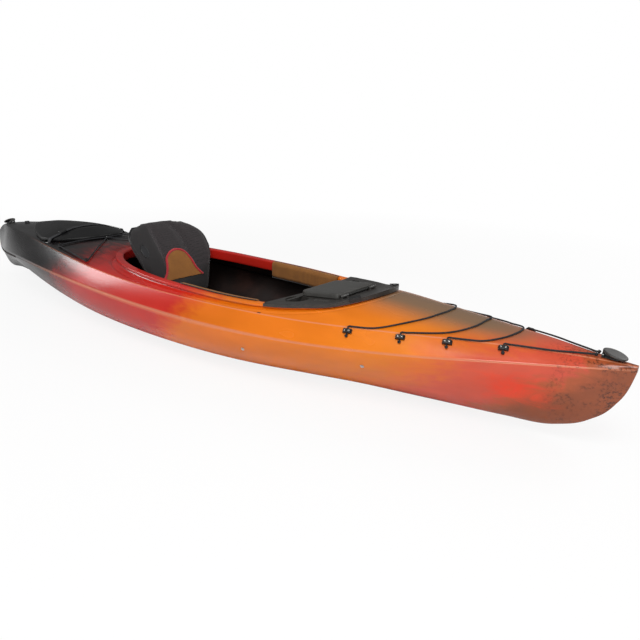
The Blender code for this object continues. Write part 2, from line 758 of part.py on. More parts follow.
def make_hatch():
    edge = hatch_outline()
    inside = hatch_outline(-HATCH_COVER_WALL)
    seat = hatch_outline(-HATCH_COVER_WALL - HATCH_SKIRT_GAP - GASKET_WIDTH - 0.001)
    seat_rise = HATCH_RIM_HEIGHT + GASKET_THICKNESS + 2 * SEAM_GAP
    centre = deck_height(HATCH_MIDDLE, 0)
    under = [hatch_ring(edge, 0.26, 0.87 * HATCH_DOME), hatch_ring(edge, 0.55, 0.80 * HATCH_DOME),
             hatch_ring(edge, 0.72, 0.62 * HATCH_DOME), hatch_ring(seat, 1.0, seat_rise),
             hatch_ring(inside, 1.0, seat_rise), hatch_ring(inside, 1.0, 0.003)]
    over = [hatch_ring(edge, 1.0, 0.003)]
    over += [hatch_ring(edge, scale, rise * HATCH_DOME) for scale, rise in HATCH_COVER_FORM]
    tips = ((HATCH_MIDDLE, 0, centre + 0.88 * HATCH_DOME), (HATCH_MIDDLE, 0, centre + HATCH_DOME))
    cover = add_object("hatch_cover", skin(under + over, first_point=tips[0], last_point=tips[1]),
                       BLACK_PLASTIC)

    outer = hatch_outline(-HATCH_COVER_WALL - HATCH_SKIRT_GAP + 0.001)
    inner = hatch_outline(-HATCH_COVER_WALL - HATCH_SKIRT_GAP + 0.001 - GASKET_WIDTH)
    rings = []
    for out_point, in_point, edge_point in zip(outer, inner, edge):
        low = hatch_level(out_point) + HATCH_RIM_HEIGHT + 2 * SEAM_GAP
        high = hatch_level(edge_point) + seat_rise - SEAM_GAP
        rings.append([(in_point.x, in_point.y, low), (out_point.x, out_point.y, low),
                      (out_point.x, out_point.y, high), (in_point.x, in_point.y, high)])
    gasket = add_object("hatch_gasket", skin(rings, around=True), RUBBER)
    return cover, gasket


def cover_height(x, y):
    """Height of the hatch cover's top, by how far out towards the outline a point lies."""
    ahead = x - HATCH_MIDDLE
    reach, power = ((HATCH_FRONT - HATCH_MIDDLE, HATCH_FRONT_POWER) if ahead >= 0
                    else (HATCH_MIDDLE - HATCH_REAR, HATCH_REAR_POWER))
    scale = ((abs(ahead) / reach) ** power + (abs(y) / HATCH_HALF_WIDTH) ** power) ** (1 / power)
    scale = min(max(scale, 1e-4), 1.0)
    edge_level = deck_height(HATCH_MIDDLE + ahead / scale, y / scale)
    form = [(0.0, 1.0)] + [(place, rise) for place, rise in reversed(HATCH_COVER_FORM)]
    rise = float(np.interp(scale, [f[0] for f in form], [f[1] for f in form])) * HATCH_DOME
    return edge_level * scale + deck_height(HATCH_MIDDLE, 0) * (1 - scale) + rise


def make_hatch_strap():
    """A flat strap over the cover from deck to deck, with its buckle on the starboard slope."""
    ahead = (STRAP_AT - HATCH_MIDDLE) / (HATCH_FRONT - HATCH_MIDDLE)
    side_clear = HATCH_HALF_WIDTH * (1 - ahead ** 2) ** 0.5
    half = [(STRAP_REACH, deck_height(STRAP_AT, STRAP_REACH) + 0.0016),
            (side_clear + 0.016, deck_height(STRAP_AT, side_clear + 0.016) + 0.0016),
            (side_clear + 0.0075, cover_height(STRAP_AT, side_clear) - 0.004),
            (side_clear + 0.0055, cover_height(STRAP_AT, side_clear) + 0.0020)]
    for share in (0.94, 0.86, 0.75, 0.64, 0.54, 0.44, 0.22):
        half.append((side_clear * share, cover_height(STRAP_AT, side_clear * share) + 0.0030))
    line = half + [(0.0, cover_height(STRAP_AT, 0) + 0.0026)] + [(-y, z) for y, z in reversed(half)]
    rings = []
    for i, (y, z) in enumerate(line):
        before, after = line[max(i - 1, 0)], line[min(i + 1, len(line) - 1)]
        run = Vector((after[0] - before[0], after[1] - before[1])).normalized()
        out = Vector((run.y, -run.x)) * -1
        out = out if out.y > 0 or abs(out.y) < 1e-6 else -out
        low = Vector((y, z)) - out * STRAP_THICKNESS / 2
        high = Vector((y, z)) + out * STRAP_THICKNESS / 2
        rear, fore = STRAP_AT - STRAP_WIDTH / 2, STRAP_AT + STRAP_WIDTH / 2
        rings.append([(rear, *low), (fore, *low), (fore, *high), (rear, *high)])
    strap = add_object("hatch_strap", skin(rings), WEBBING)
    y = -0.68 * side_clear
    slope = (cover_height(STRAP_AT, y + 0.01) - cover_height(STRAP_AT, y - 0.01)) / 0.02
    normal = Vector((0, -slope, 1)).normalized()
    top = Vector((STRAP_AT, y, cover_height(STRAP_AT, y) + 0.0030 + STRAP_THICKNESS / 2 + 0.0012))
    place = frame_at(top + normal * STRAP_BUCKLE[2] / 2, (0, 1, slope), normal)
    buckle = add_object("hatch_buckle", box_mesh(STRAP_BUCKLE, bevel=0.0012), BLACK_PLASTIC, place)
    return strap, buckle


# Deck fittings and cords

def band(x, side):
    """The crease point, the way down the band below it, the band's outward normal, and the crease's run."""
    edge, height = crease(x)
    wide, seam = chine(x)
    down = Vector((0, side * ((wide + edge) / 2 + 0.002 - edge), (seam + height) / 2 - height)).normalized()
    fore, aft = crease(x + 0.02), crease(x - 0.02)
    along = Vector((0.04, side * (fore[0] - aft[0]), fore[1] - aft[1])).normalized()
    normal = along.cross(down).normalized() * side
    normal = normal if normal.z > 0 else -normal
    down = (down - along * down.dot(along)).normalized()
    return Vector((x, side * edge, height)), down, normal, along


def side_name(side):
    return "left" if side > 0 else "right"


def make_bow_cleat(index, x, side):
    """A low bridge on the band below the crease, which a cord runs under."""
    top, down, normal, along = band(x, side)
    half, shoulder, slot = CLEAT_LENGTH / 2, CLEAT_LENGTH / 2 - 0.006, CLEAT_SLOT / 2
    profile = [(-half, 0), (-half, 0.006), (-shoulder, CLEAT_HEIGHT), (shoulder, CLEAT_HEIGHT), (half, 0.006),
               (half, 0), (slot, 0), (slot, CLEAT_SLOT), (-slot, CLEAT_SLOT), (-slot, 0)]
    rings = [[(u, v, w) for u, w in profile] for v in (-CLEAT_WIDTH / 2, CLEAT_WIDTH / 2)]
    place = frame_at(top + down * CLEAT_DROP + normal * 0.0007, along, normal)
    add_object(f"bow_cleat_{index}_{side_name(side)}", skin(rings), BLACK_PLASTIC, place)


def cleat_route(x, side, rise=CORD_RISE):
    """A cord's knot below a cleat, its way under the bridge and over the crease."""
    top, down, normal, _ = band(x, side)
    over = (normal + Vector((0, 0, 1))).normalized()
    low = CLEAT_DROP + CLEAT_WIDTH / 2
    knot = [top + down * (low + 0.011) + normal * (rise + 0.0012),
            top + down * (low + 0.0050) + normal * (rise + 0.0010)]
    way = [top + down * (low + 0.0005) + normal * rise, top + down * (CLEAT_DROP - 0.006) + normal * rise,
           top + over * (rise + 0.0010)]
    return knot, way


def over_deck(first, plan, last):
    """A smooth way over the deck from one fixed point to another, through the plan's points."""
    corners = [(first.x, first.y), *plan, (last.x, last.y)]
    route = smooth_route([(x, y, 0) for x, y in corners], CORD_SPACING)
    between = [Vector((p.x, p.y, deck_height(p.x, p.y) + CORD_RISE)) for p in route[1:-1]]
    return [first, *between, last]


def knotted_cord(name, points):
    """A cord whose two outermost points at each end are knots."""
    made = tube(name, points, CORD)
    for index in (0, 1, -2, -1):
        made.data.splines[0].points[index].radius = KNOT_SWELL
    return made


def mirrored(points):
    return [Vector((p.x, -p.y, p.z)) for p in reversed(points)]


def make_bow_rigging():
    for side in (1, -1):
        for index, x in enumerate(BOW_CLEATS, 1):
            make_bow_cleat(index, x, side)
    for index, (x, plan) in enumerate(zip(BOW_CLEATS, BOW_CORDS), 1):
        knot, way = cleat_route(x, -1)
        start, crest = knot + way[:-1], way[-1]
        both = [(px, -py) for px, py in plan] + [(px, py) for px, py in reversed(plan[:-1])]
        over = over_deck(crest, both, mirrored([crest])[0])
        knotted_cord(f"bow_cord_{index}", start + over + mirrored(start))
    for side in (1, -1):
        knot, way = cleat_route(BOW_CLEATS[3], side)
        x, y = BOW_TIE[-1]
        last = Vector((x, side * y, deck_height(x, y) + CORD_RISE))
        over = over_deck(way[-1], [(px, side * py) for px, py in BOW_TIE[:-1]], last)
        end = [Vector((x + step, side * y, deck_height(x + step, y) + CORD_RISE + 0.0012))
               for step in (0.004, 0.011)]
        knotted_cord(f"bow_tie_{side_name(side)}", knot + way[:-1] + over + end)


def make_post(name, x, y):
    """A mushroom-shaped post which the stern cord turns round."""
    stem, cap, base = POST_STEM_RADIUS, POST_CAP_RADIUS, POST_CAP_RADIUS
    profile = [(base, 0), (base, POST_BASE_THICKNESS), (stem, POST_BASE_THICKNESS + 0.0002),
               (stem, POST_HEIGHT - 0.0045), (cap, POST_HEIGHT - 0.003), (cap, POST_HEIGHT - 0.001),
               (cap - 0.002, POST_HEIGHT)]
    turns = [2 * math.pi * i / 16 for i in range(16)]
    rings = [[(r * math.cos(a), r * math.sin(a), height) for a in turns] for r, height in profile]
    step = 0.01
    slope_x = (deck_height(x + step, y) - deck_height(x - step, y)) / (2 * step)
    slope_y = (deck_height(x, y + step) - deck_height(x, y - step)) / (2 * step)
    normal = Vector((-slope_x, -slope_y, 1)).normalized()
    origin = Vector((x, y, deck_height(x, y))) + normal * 0.0005
    add_object(name, skin(rings), BLACK_PLASTIC, frame_at(origin, (1, 0, 0), normal))


def make_stern_rigging():
    posts = [(POST_REAR[0], -POST_REAR[1]), (POST_FRONT[0], -POST_FRONT[1]),
             (POST_FRONT[0], POST_FRONT[1]), (POST_REAR[0], POST_REAR[1])]
    for (x, y), name in zip(posts, ("rear_right", "front_right", "front_left", "rear_left")):
        make_post(f"stern_post_{name}", x, y)
    radius = POST_STEM_RADIUS + CORD_DIAMETER / 2 + 0.0010
    meet_rear = Vector((LOOP_MEETING, 0))
    meet_front = Vector((LOOP_MEETING + LINK_PITCH, 0))
    plan = []
    corners = [Vector(posts[0]), Vector(posts[1]), meet_front, Vector(posts[2]), Vector(posts[3]), meet_rear]
    for i, corner in enumerate(corners):
        before, after = corners[i - 1], corners[(i + 1) % len(corners)]
        into, away = (corner - before).normalized(), (after - corner).normalized()
        if corner in (meet_rear, meet_front):
            plan += round_corner(corner, into, away)
            continue
        start = math.atan2(-into.x, into.y)
        end = math.atan2(-away.x, away.y)
        while end < start:
            end += 2 * math.pi
        steps = 5
        for k in range(steps + 1):
            angle = start + (end - start) * k / steps
            plan.append(corner + radius * Vector((math.cos(angle), math.sin(angle))))
    plan = spread(plan, 0.040)
    points = [Vector((p.x, p.y, deck_height(p.x, p.y) + STERN_CORD_RISE)) for p in plan]
    tube("stern_cord", points, CORD, closed=True)
    link_path = []
    half = LINK_PITCH / 2 + CORD_DIAMETER / 2 + 0.0018
    tall = CORD_DIAMETER / 2 + 0.0018
    middle = Vector((LOOP_MEETING + LINK_PITCH / 2, 0, 0))
    middle.z = deck_height(middle.x, 0) + STERN_CORD_RISE
    for k in range(20):
        angle = 2 * math.pi * k / 20
        straight = half - tall
        u = tall * math.cos(angle) + math.copysign(straight, math.cos(angle))
        link_path.append(middle + Vector((u, 0, tall * math.sin(angle))))
    rings = []
    for k, place in enumerate(link_path):
        run = (link_path[(k + 1) % 20] - link_path[k - 1]).normalized()
        across = run.cross(Vector((0, 1, 0)))
        rings.append([place + LINK_WIRE_RADIUS * (across * math.cos(a) + Vector((0, 1, 0)) * math.sin(a))
                      for a in (0, 1.0472, 2.0944, 3.1416, 4.1888, 5.2360)])
    add_object("stern_cord_link", skin(rings, around=True), STEEL)


def round_corner(corner, into, away, radius=0.022):
    """Points of a rounding that starts and ends a radius from a corner and touches the corner itself."""
    start = corner - into * radius
    end = corner + away * radius
    pull = 2 * corner - (start + end) / 2
    shares = [k / 8 for k in range(9)]
    return [start * (1 - t) ** 2 + pull * (2 * t * (1 - t)) + end * t ** 2 for t in shares]


def spread(plan, longest):
    """The closed plan with its long spans divided evenly."""
    dense = []
    for start, end in zip(plan, plan[1:] + plan[:1]):
        count = max(math.ceil((end - start).length / longest), 1)
        dense += [start.lerp(end, k / count) for k in range(count)]
    return dense


# Carry handles

def make_handle(name, x, along):
    """A base with two lugs, an axle pin, and an oval grip that swings up on it."""
    slope = (deck_height(x + along * 0.045, 0) - deck_height(x, 0)) / 0.045
    place = frame_at((x, 0, deck_height(x, 0) + 0.0006), (along, 0, slope), (-along * slope, 0, 1))
    thick, axle = HANDLE_BASE_THICKNESS, HANDLE_AXLE_HEIGHT
    half_width, lug = HANDLE_BASE_WIDTH / 2, HANDLE_LUG_THICKNESS
    base_size = (HANDLE_BASE_LENGTH, HANDLE_BASE_WIDTH, thick)
    centre = (HANDLE_BASE_LENGTH / 2 - HANDLE_LUG_RADIUS, 0, thick / 2)
    base = add_object(f"{name}_base", box_mesh(base_size, centre), GREY_PLASTIC, place)
    for side in (1, -1):
        y = side * (half_width - lug / 2)
        centre = (0, y, (axle + thick / 2) / 2)
        upright = box_mesh((1.7 * HANDLE_LUG_RADIUS, lug - 0.0008, axle - thick / 2), centre)
        join(base, add_object(f"{name}_upright_{side_name(side)}", upright, GREY_PLASTIC, place))
        eye = cylinder_mesh(HANDLE_LUG_RADIUS, lug - 0.0004, (0, y, axle), 'Y')
        join(base, add_object(f"{name}_eye_{side_name(side)}", eye, GREY_PLASTIC, place))
    bore = cylinder_mesh(HANDLE_AXLE_RADIUS + 0.0003, 0.1, (0, 0, axle), 'Y', 16)
    cut(base, add_object(f"{name}_bore", bore, GREY_PLASTIC, place))
    pin_mesh = cylinder_mesh(HANDLE_AXLE_RADIUS, HANDLE_BASE_WIDTH - 0.0006, (0, 0, axle), 'Y', 16)
    pin = add_object(f"{name}_pin", pin_mesh, STEEL, place)
    barrel_length = HANDLE_BASE_WIDTH - 2 * lug - 0.001
    barrel_mesh = cylinder_mesh(HANDLE_BARREL_RADIUS, barrel_length, (0, 0, axle), 'Y')
    grip = add_object(f"{name}_grip", barrel_mesh, GREY_PLASTIC, place)
    neck = box_mesh((0.008, barrel_length, HANDLE_DISC_RISE - axle), (0, 0, (HANDLE_DISC_RISE + axle) / 2))
    join(grip, add_object(f"{name}_neck", neck, GREY_PLASTIC, place))
    disc = lens_mesh(HANDLE_DISC_LENGTH, HANDLE_DISC_WIDTH, HANDLE_DISC_THICKNESS, 24)
    tilt = Matrix.Translation((0, 0, HANDLE_DISC_RISE)) @ Matrix.Rotation(HANDLE_DISC_TILT, 4, 'Y')
    shift = Matrix.Translation((HANDLE_DISC_LENGTH / 2 - HANDLE_DISC_BACK, 0, 0))
    join(grip, add_object(f"{name}_disc", disc, GREY_PLASTIC, place @ tilt @ shift))
    cut(grip, add_object(f"{name}_grip_bore", bore_copy(axle), GREY_PLASTIC, place))
    hinge = pivot(f"{name}_axis", place @ Vector((0, 0, axle)), (0, 1, 0))
    hang(hinge, grip)


def bore_copy(axle):
    return cylinder_mesh(HANDLE_AXLE_RADIUS + 0.0003, 0.1, (0, 0, axle), 'Y', 16)


def lens_mesh(length, width, thickness, count):
    """An oval disc with rounded edges."""
    rings = []
    for scale, height in ((0.86, -0.5), (0.97, -0.28), (1.0, 0.0), (0.97, 0.28), (0.86, 0.5)):
        rings.append([(scale * length / 2 * math.cos(2 * math.pi * i / count),
                       scale * width / 2 * math.sin(2 * math.pi * i / count), height * thickness)
                      for i in range(count)])
    return skin(rings)


def make_drain_plug():
    level = deck_height(PLUG_AT, 0) + 0.0008
    knob = cylinder_mesh(PLUG_KNOB_RADIUS, PLUG_KNOB_HEIGHT, (PLUG_AT, 0, level + PLUG_KNOB_HEIGHT / 2),
                         segments=28, far_radius=PLUG_KNOB_RADIUS - 0.002)
    plug = add_object("drain_plug", knob, RUBBER)
    shank_height = level + 0.002 - PLUG_SHANK_LENGTH / 2
    shank = cylinder_mesh(PLUG_SHANK_RADIUS, PLUG_SHANK_LENGTH, (PLUG_AT, 0, shank_height), segments=24)
    join(plug, add_object("drain_shank", shank, RUBBER))
    slot_size = (PLUG_SLOT[0] * 2, PLUG_SLOT[1], PLUG_SLOT[2] * 2)
    slot = box_mesh(slot_size, (PLUG_AT, 0, level + PLUG_KNOB_HEIGHT))
    cut(plug, add_object("drain_slot", slot, RUBBER))
    hang(pivot("drain_plug_axis", (PLUG_AT, 0, level)), plug)


# Seat

def seat_floor(x, y):
    """Height of the hull's inner face under a point of the seat."""
    return hull_floor(x, y) + 1.3 * WALL + SEAT_FLOOR_GAP


def make_seat_frame():
    middle = (SEAT_REAR + SEAT_FRONT) / 2
    low = SEAT_DECK_HEIGHT - SEAT_DECK_THICKNESS
    deck_box = box_mesh((SEAT_FRONT - SEAT_REAR, 2 * SEAT_HALF_WIDTH, SEAT_DECK_THICKNESS),
                        (middle, 0, low + SEAT_DECK_THICKNESS / 2), 0.002, 1)
    frame = add_object("seat_frame", deck_box, BLACK_PLASTIC)
    for side in (1, -1):
        outer, inner = side * (SEAT_HALF_WIDTH - 0.001), side * (SEAT_HALF_WIDTH - SEAT_LEG_THICKNESS)
        rings = []
        for k in range(7):
            x = SEAT_REAR + 0.004 + (SEAT_FRONT - SEAT_REAR - 0.008) * k / 6
            rings.append([(x, inner, seat_floor(x, inner)), (x, outer, seat_floor(x, outer)),
                          (x, outer, low + 0.004), (x, inner, low + 0.004)])
        join(frame, add_object(f"seat_leg_{side_name(side)}", skin(rings), BLACK_PLASTIC))
        y = side * (BACK_BARREL_HALF_LENGTH + 0.004 + BACK_LUG_THICKNESS / 2)
        x, z = BACK_PIVOT
        lug = box_mesh((0.017, BACK_LUG_THICKNESS, z - SEAT_DECK_HEIGHT + 0.004),
                       (x, y, (z + SEAT_DECK_HEIGHT - 0.004) / 2))
        join(frame, add_object(f"seat_lug_{side_name(side)}", lug, BLACK_PLASTIC))
        eye = cylinder_mesh(0.010, BACK_LUG_THICKNESS - 0.001, (x, y, z), 'Y')
        join(frame, add_object(f"seat_eye_{side_name(side)}", eye, BLACK_PLASTIC))
    bore = cylinder_mesh(BACK_ROD_RADIUS + 0.0003, 0.5, (BACK_PIVOT[0], 0, BACK_PIVOT[1]), 'Y')
    cut(frame, add_object("seat_rod_bore", bore, BLACK_PLASTIC))
    rod = cylinder_mesh(BACK_ROD_RADIUS, 2 * BACK_ROD_HALF_LENGTH, (BACK_PIVOT[0], 0, BACK_PIVOT[1]), 'Y')
    add_object("seat_back_rod", rod, STEEL)


def make_seat_cushion():
    """A foam cushion, crowned towards its edges, with a dish for each leg and a ridge between them."""
    rings = []
    stations, columns = 11, 13
    base = SEAT_DECK_HEIGHT + 0.0006
    for i in range(stations):
        t = -1 + 2 * i / (stations - 1)
        x = (CUSHION_REAR + CUSHION_FRONT) / 2 + t * (CUSHION_FRONT - CUSHION_REAR) / 2
        half_width = CUSHION_HALF_WIDTH * (1 - 0.12 * abs(t) ** 5)
        along = (1 - abs(t) ** 6) ** 0.5
        top = []
        for k in range(columns):
            f = -1 + 2 * k / (columns - 1)
            across = (1 - abs(f) ** 6) ** 0.5
            dish = CUSHION_DISH * math.exp(-((abs(f) - 0.45) / 0.22) ** 2) * smooth_step((t + 1.1) / 1.2)
            height = 0.35 * CUSHION_THICKNESS + (0.65 * CUSHION_THICKNESS - dish) * along * across
            top.append((x, f * half_width, base + height))
        rings.append([(x, half_width, base), (x, -half_width, base)] + top)
    add_object("seat_cushion", skin(rings), FABRIC)


back_line = fair(BACK_LINE)
back_half_width = fair(BACK_HALF_WIDTHS)


def back_face(y, z):
    """Front face of the back's frame: how far forward it is at a height and a distance out."""
    return back_line(z) - BACK_PAD_THICKNESS - 0.0008 + BACK_WRAP * (abs(y) / BACK_HALF_WIDTHS[4][1]) ** 2.2


def pad_depth(f, z):
    """Thickness of the back pad: crowned, with two upright channels in its upper half."""
    crown = 1 - abs(f) ** 3.5
    top = max((z - 0.43) / (BACK_PAD_HEIGHTS[-1] - 0.43), 0.0)
    foot = max((BACK_PAD_HEIGHTS[0] + 0.03 - z) / 0.03, 0.0)
    depth = BACK_PAD_EDGE + (BACK_PAD_THICKNESS - BACK_PAD_EDGE) * crown
    depth *= 1 - 0.55 * top ** 2 - 0.35 * foot ** 2
    upright = smooth_step((z - 0.325) / 0.03) * smooth_step((0.474 - z) / 0.02)
    channel = math.exp(-((abs(f) - BACK_GROOVE_AT) / BACK_GROOVE_WIDTH) ** 2)
    return depth - BACK_GROOVE_DEPTH * channel * upright


def make_seat_back():
    columns = (-1, -.93, -.8, -.62, -.48, -.39, -.33, -.27, -.17, 0, .17, .27, .33, .39, .48, .62, .8, .93, 1)
    rings = []
    for z in BACK_PAD_HEIGHTS:
        half_width = back_half_width(z)
        front = [(back_face(f * half_width, z) + pad_depth(f, z), f * half_width, z) for f in columns]
        back = [(back_face(f * half_width, z), f * half_width, z) for f in reversed(columns[::2])]
        rings.append(front + back)
    pad = add_object("seat_back_pad", skin(rings), FABRIC)

    columns = (-1, -.85, -.65, -.4, 0, .4, .65, .85, 1)
    rings = []
    for z in BACK_FRAME_HEIGHTS:
        half_width = 0.96 * back_half_width(z)
        front = [(back_face(f * half_width, z) - 0.0025, f * half_width, z) for f in columns]
        back = [(back_face(f * half_width, z) - 0.0025 - BACK_FRAME_THICKNESS, f * half_width, z)
                for f in reversed(columns)]
        rings.append(front + back)
    frame = add_object("seat_back_frame", skin(rings), BLACK_PLASTIC)
    centre = (BACK_PIVOT[0], 0, BACK_PIVOT[1])
    barrel = cylinder_mesh(BACK_BARREL_RADIUS, 2 * BACK_BARREL_HALF_LENGTH, centre, 'Y')
    join(frame, add_object("seat_back_barrel", barrel, BLACK_PLASTIC))
    bore = cylinder_mesh(BACK_ROD_RADIUS + 0.0003, 0.5, (BACK_PIVOT[0], 0, BACK_PIVOT[1]), 'Y')
    cut(frame, add_object("seat_back_bore", bore, BLACK_PLASTIC))

    rings = []
    columns = (-1, -.8, -.55, -.28, 0, .28, .55, .8, 1)
    for k in range(9):
        z = PANEL_BOTTOM + (PANEL_TOP - PANEL_BOTTOM) * (1 - (1 - k / 8) ** 1.5)
        half_width = PANEL_HALF_WIDTH * max(1 - (k / 8) ** 3.2, 0.02) ** 0.5
        shares = [f * half_width / back_half_width(z) for f in columns]
        rear = [(back_face(f * half_width, z) + pad_depth(s, z) + 0.0026, f * half_width, z)
                for f, s in zip(columns, shares)]
        front = [(x + PANEL_THICKNESS * (1 - 0.5 * abs(f) ** 4), y, height)
                 for (x, y, height), f in zip(rear, columns)]
        rings.append(front + list(reversed(rear)))
    panel = add_object("seat_back_panel", skin(rings), TAN_FABRIC)

    pieces = [frame, pad, panel]
    for side in (1, -1):
        y, z = BUCKLE_AT
        rise = back_line(z + 0.02) - back_line(z - 0.02)
        up = Vector((rise, 0, 0.04)).normalized()
        rear = back_face(y, z) - 0.0025 - BACK_FRAME_THICKNESS
        wrap_slope = (back_face(y + 0.01, z) - back_face(y - 0.01, z)) / 0.02
        normal = Vector((-1, side * wrap_slope, rise / 0.04)).normalized()
        centre = Vector((rear, side * y, z)) + normal * (BUCKLE_SIZE[2] / 2 + 0.0034)
        place = frame_at(centre, up, normal)
        buckle = box_mesh(BUCKLE_SIZE, bevel=0.0015)
        pieces.append(add_object(f"seat_buckle_{side_name(side)}", buckle, BLACK_PLASTIC, place))
    hang(pivot("seat_back_axis", (BACK_PIVOT[0], 0, BACK_PIVOT[1]), (0, 1, 0)), *pieces)


def lip_edge(x, side):
    """A point of the lip's outer edge, and the outward normal there."""
    y = lip_half_width(x)
    slope = (lip_half_width(x + 0.002) - lip_half_width(x - 0.002)) / 0.004
    return Vector((x, side * y)), Vector((-slope, side)).normalized()


def make_thigh_pad(side):
    """Foam that lies on the lip and hangs down the inside of the coaming."""
    inner = -LIP_WIDTH - 0.0012
    rings = []
    for k in range(11):
        x = THIGH_PAD_REAR + (THIGH_PAD_FRONT - THIGH_PAD_REAR) * k / 10
        point, normal = lip_edge(x, side)
        top = lip_height(x) + 0.0008
        ends = 0.006 if k in (0, 10) else 0.0
        bulge = 0.003 * (1 - ((k - 5) / 5) ** 2)
        profile = [
            (inner, top - THIGH_PAD_DEPTH + ends), (inner, top), (-THIGH_PAD_FLANGE_EDGE, top),
            (-THIGH_PAD_FLANGE_EDGE, top + THIGH_PAD_FLANGE - 0.002), (inner + 0.004, top + THIGH_PAD_FLANGE),
            (inner - 0.6 * THIGH_PAD_THICKNESS, top + THIGH_PAD_FLANGE - 0.001),
            (inner - THIGH_PAD_THICKNESS - bulge, top - 0.010),
            (inner - THIGH_PAD_THICKNESS - bulge, top - THIGH_PAD_DEPTH + 0.012),
            (inner - 0.7 * THIGH_PAD_THICKNESS, top - THIGH_PAD_DEPTH + ends),
        ]
        rings.append([(point.x + normal.x * o, point.y + normal.y * o, z) for o, z in profile])
    add_object(f"thigh_pad_{side_name(side)}", skin(rings), TAN_FABRIC)


# Foot braces

def rail_point(place, side):
    """A screw's place on the hull's outer face, and the outward normal there."""
    x, z = place
    return Vector((x, side * hull_half_breadth(x, z), z)), hull_normal(x, z, side)


def make_foot_brace(hull, side):
    label = side_name(side)
    depth = WALL + 0.0015 + RAIL_STANDOFF + RAIL_THICKNESS / 2
    ends = [rail_point(RAIL_REAR, side), rail_point(RAIL_FRONT, side)]
    centres = [point - normal * depth for point, normal in ends]
    run = centres[1] - centres[0]
    along = run.normalized()
    out = ends[0][1] + ends[1][1]
    out = (out - along * out.dot(along)).normalized()
    place = frame_at((centres[0] + centres[1]) / 2, along, out)
    bar = box_mesh((run.length + 2 * RAIL_OVERHANG, RAIL_HEIGHT, RAIL_THICKNESS), bevel=0.001, segments=1)
    rail = add_object(f"foot_rail_{label}", bar, BLACK_PLASTIC, place)
    for name, (point, normal), centre in zip(("rear", "front"), ends, centres):
        reach = RAIL_THICKNESS / 2 + RAIL_STANDOFF - 0.002
        turned = frame_at(centre, along, normal)
        boss = cylinder_mesh(RAIL_BOSS_RADIUS, reach, (0, 0, reach / 2))
        join(rail, add_object(f"rail_boss_{name}_{label}", boss, BLACK_PLASTIC, turned))
        hole = cylinder_mesh(SCREW_HOLE_RADIUS, 0.08, segments=12)
        cut(hull, add_object(f"hull_screw_hole_{name}_{label}", hole, SHELL_PLASTIC, turned))
    for name, (point, normal), centre in zip(("rear", "front"), ends, centres):
        turned = frame_at(centre, along, normal)
        hole = cylinder_mesh(SCREW_HOLE_RADIUS, 0.08, segments=12)
        cut(rail, add_object(f"rail_screw_hole_{name}_{label}", hole, BLACK_PLASTIC, turned))
        seat = frame_at(point, along, normal)
        head = cylinder_mesh(SCREW_HEAD_RADIUS, SCREW_HEAD_HEIGHT, (0, 0, 0.0006 + SCREW_HEAD_HEIGHT / 2),
                             segments=20, far_radius=SCREW_HEAD_RADIUS - 0.0025)
        screw = add_object(f"rail_screw_{name}_{label}", head, STEEL, seat)
        length = depth + RAIL_THICKNESS / 2 - 0.001
        shank = cylinder_mesh(SCREW_RADIUS, length, (0, 0, 0.002 - length / 2), segments=12)
        join(screw, add_object(f"rail_shank_{name}_{label}", shank, STEEL, seat))
    peg_place = place @ Matrix.Translation((PEG_PLACE - run.length / 2, 0, 0))
    wall = PEG_WALL + FIT
    size = (PEG_LENGTH, RAIL_HEIGHT + 2 * wall, RAIL_THICKNESS + 2 * wall)
    block = box_mesh(size, bevel=0.0015, segments=1)
    peg = add_object(f"foot_peg_{label}", block, BLACK_PLASTIC, peg_place)
    thick, tall, wide = PEG_PEDAL
    lift = PEG_PEDAL_LIFT if (place.to_3x3() @ Vector((0, 1, 0))).z > 0 else -PEG_PEDAL_LIFT
    inward = -(RAIL_THICKNESS / 2 + wall + wide / 2 - 0.002)
    pedal = box_mesh((thick, tall, wide), (0, lift, inward), 0.003, 2)
    join(peg, add_object(f"foot_pedal_{label}", pedal, BLACK_PLASTIC, peg_place))
    slot = box_mesh((0.12, RAIL_HEIGHT + 2 * FIT, RAIL_THICKNESS + 2 * FIT))
    cut(peg, add_object(f"peg_slot_{label}", slot, BLACK_PLASTIC, peg_place))
    hang(pivot(f"foot_peg_{label}_axis", peg_place.translation, along), peg)


# Work deck

def tray_plan():
    """Outline of the work deck: the lip's own line grown outwards, with a hollow rear edge."""
    front = []
    count = 26
    for k in range(count + 1):
        angle = math.pi / 2 * k / count
        x = LIP_MIDDLE + (LIP_FRONT - LIP_MIDDLE) * math.cos(angle)
        if x < TRAY_REAR:
            break
        y = LIP_HALF_WIDTH * math.sin(angle)
        normal = Vector((math.cos(angle) * LIP_HALF_WIDTH, math.sin(angle) * (LIP_FRONT - LIP_MIDDLE)))
        normal = normal.normalized()
        front.append(Vector((x, y)) + normal * TRAY_OVERHANG)
    corner = front[-1].y
    front.append(Vector((TRAY_REAR + 0.004, corner + 0.002)))
    rear = []
    for k in range(1, 8):
        share = 1 - k / 4
        rear.append(Vector((TRAY_REAR + TRAY_REAR_HOLLOW * (1 - share ** 2), corner * share)))
    mirrored = [Vector((p.x, -p.y)) for p in reversed(front[1:])]
    return front + rear + mirrored


def tray_top(x):
    return lip_height(x) + TRAY_SEAT_GAP + TRAY_THICKNESS


def tray_sheet(low, high):
    """A slab wider than the work deck between two heights that are given for each x."""
    reach = 0.33
    rings = []
    for k in range(17):
        x = TRAY_REAR - 0.02 + (LIP_FRONT + 0.03 - TRAY_REAR) * k / 16
        rings.append([(x, -reach, low(x)), (x, reach, low(x)), (x, reach, high(x)), (x, -reach, high(x))])
    return skin(rings)


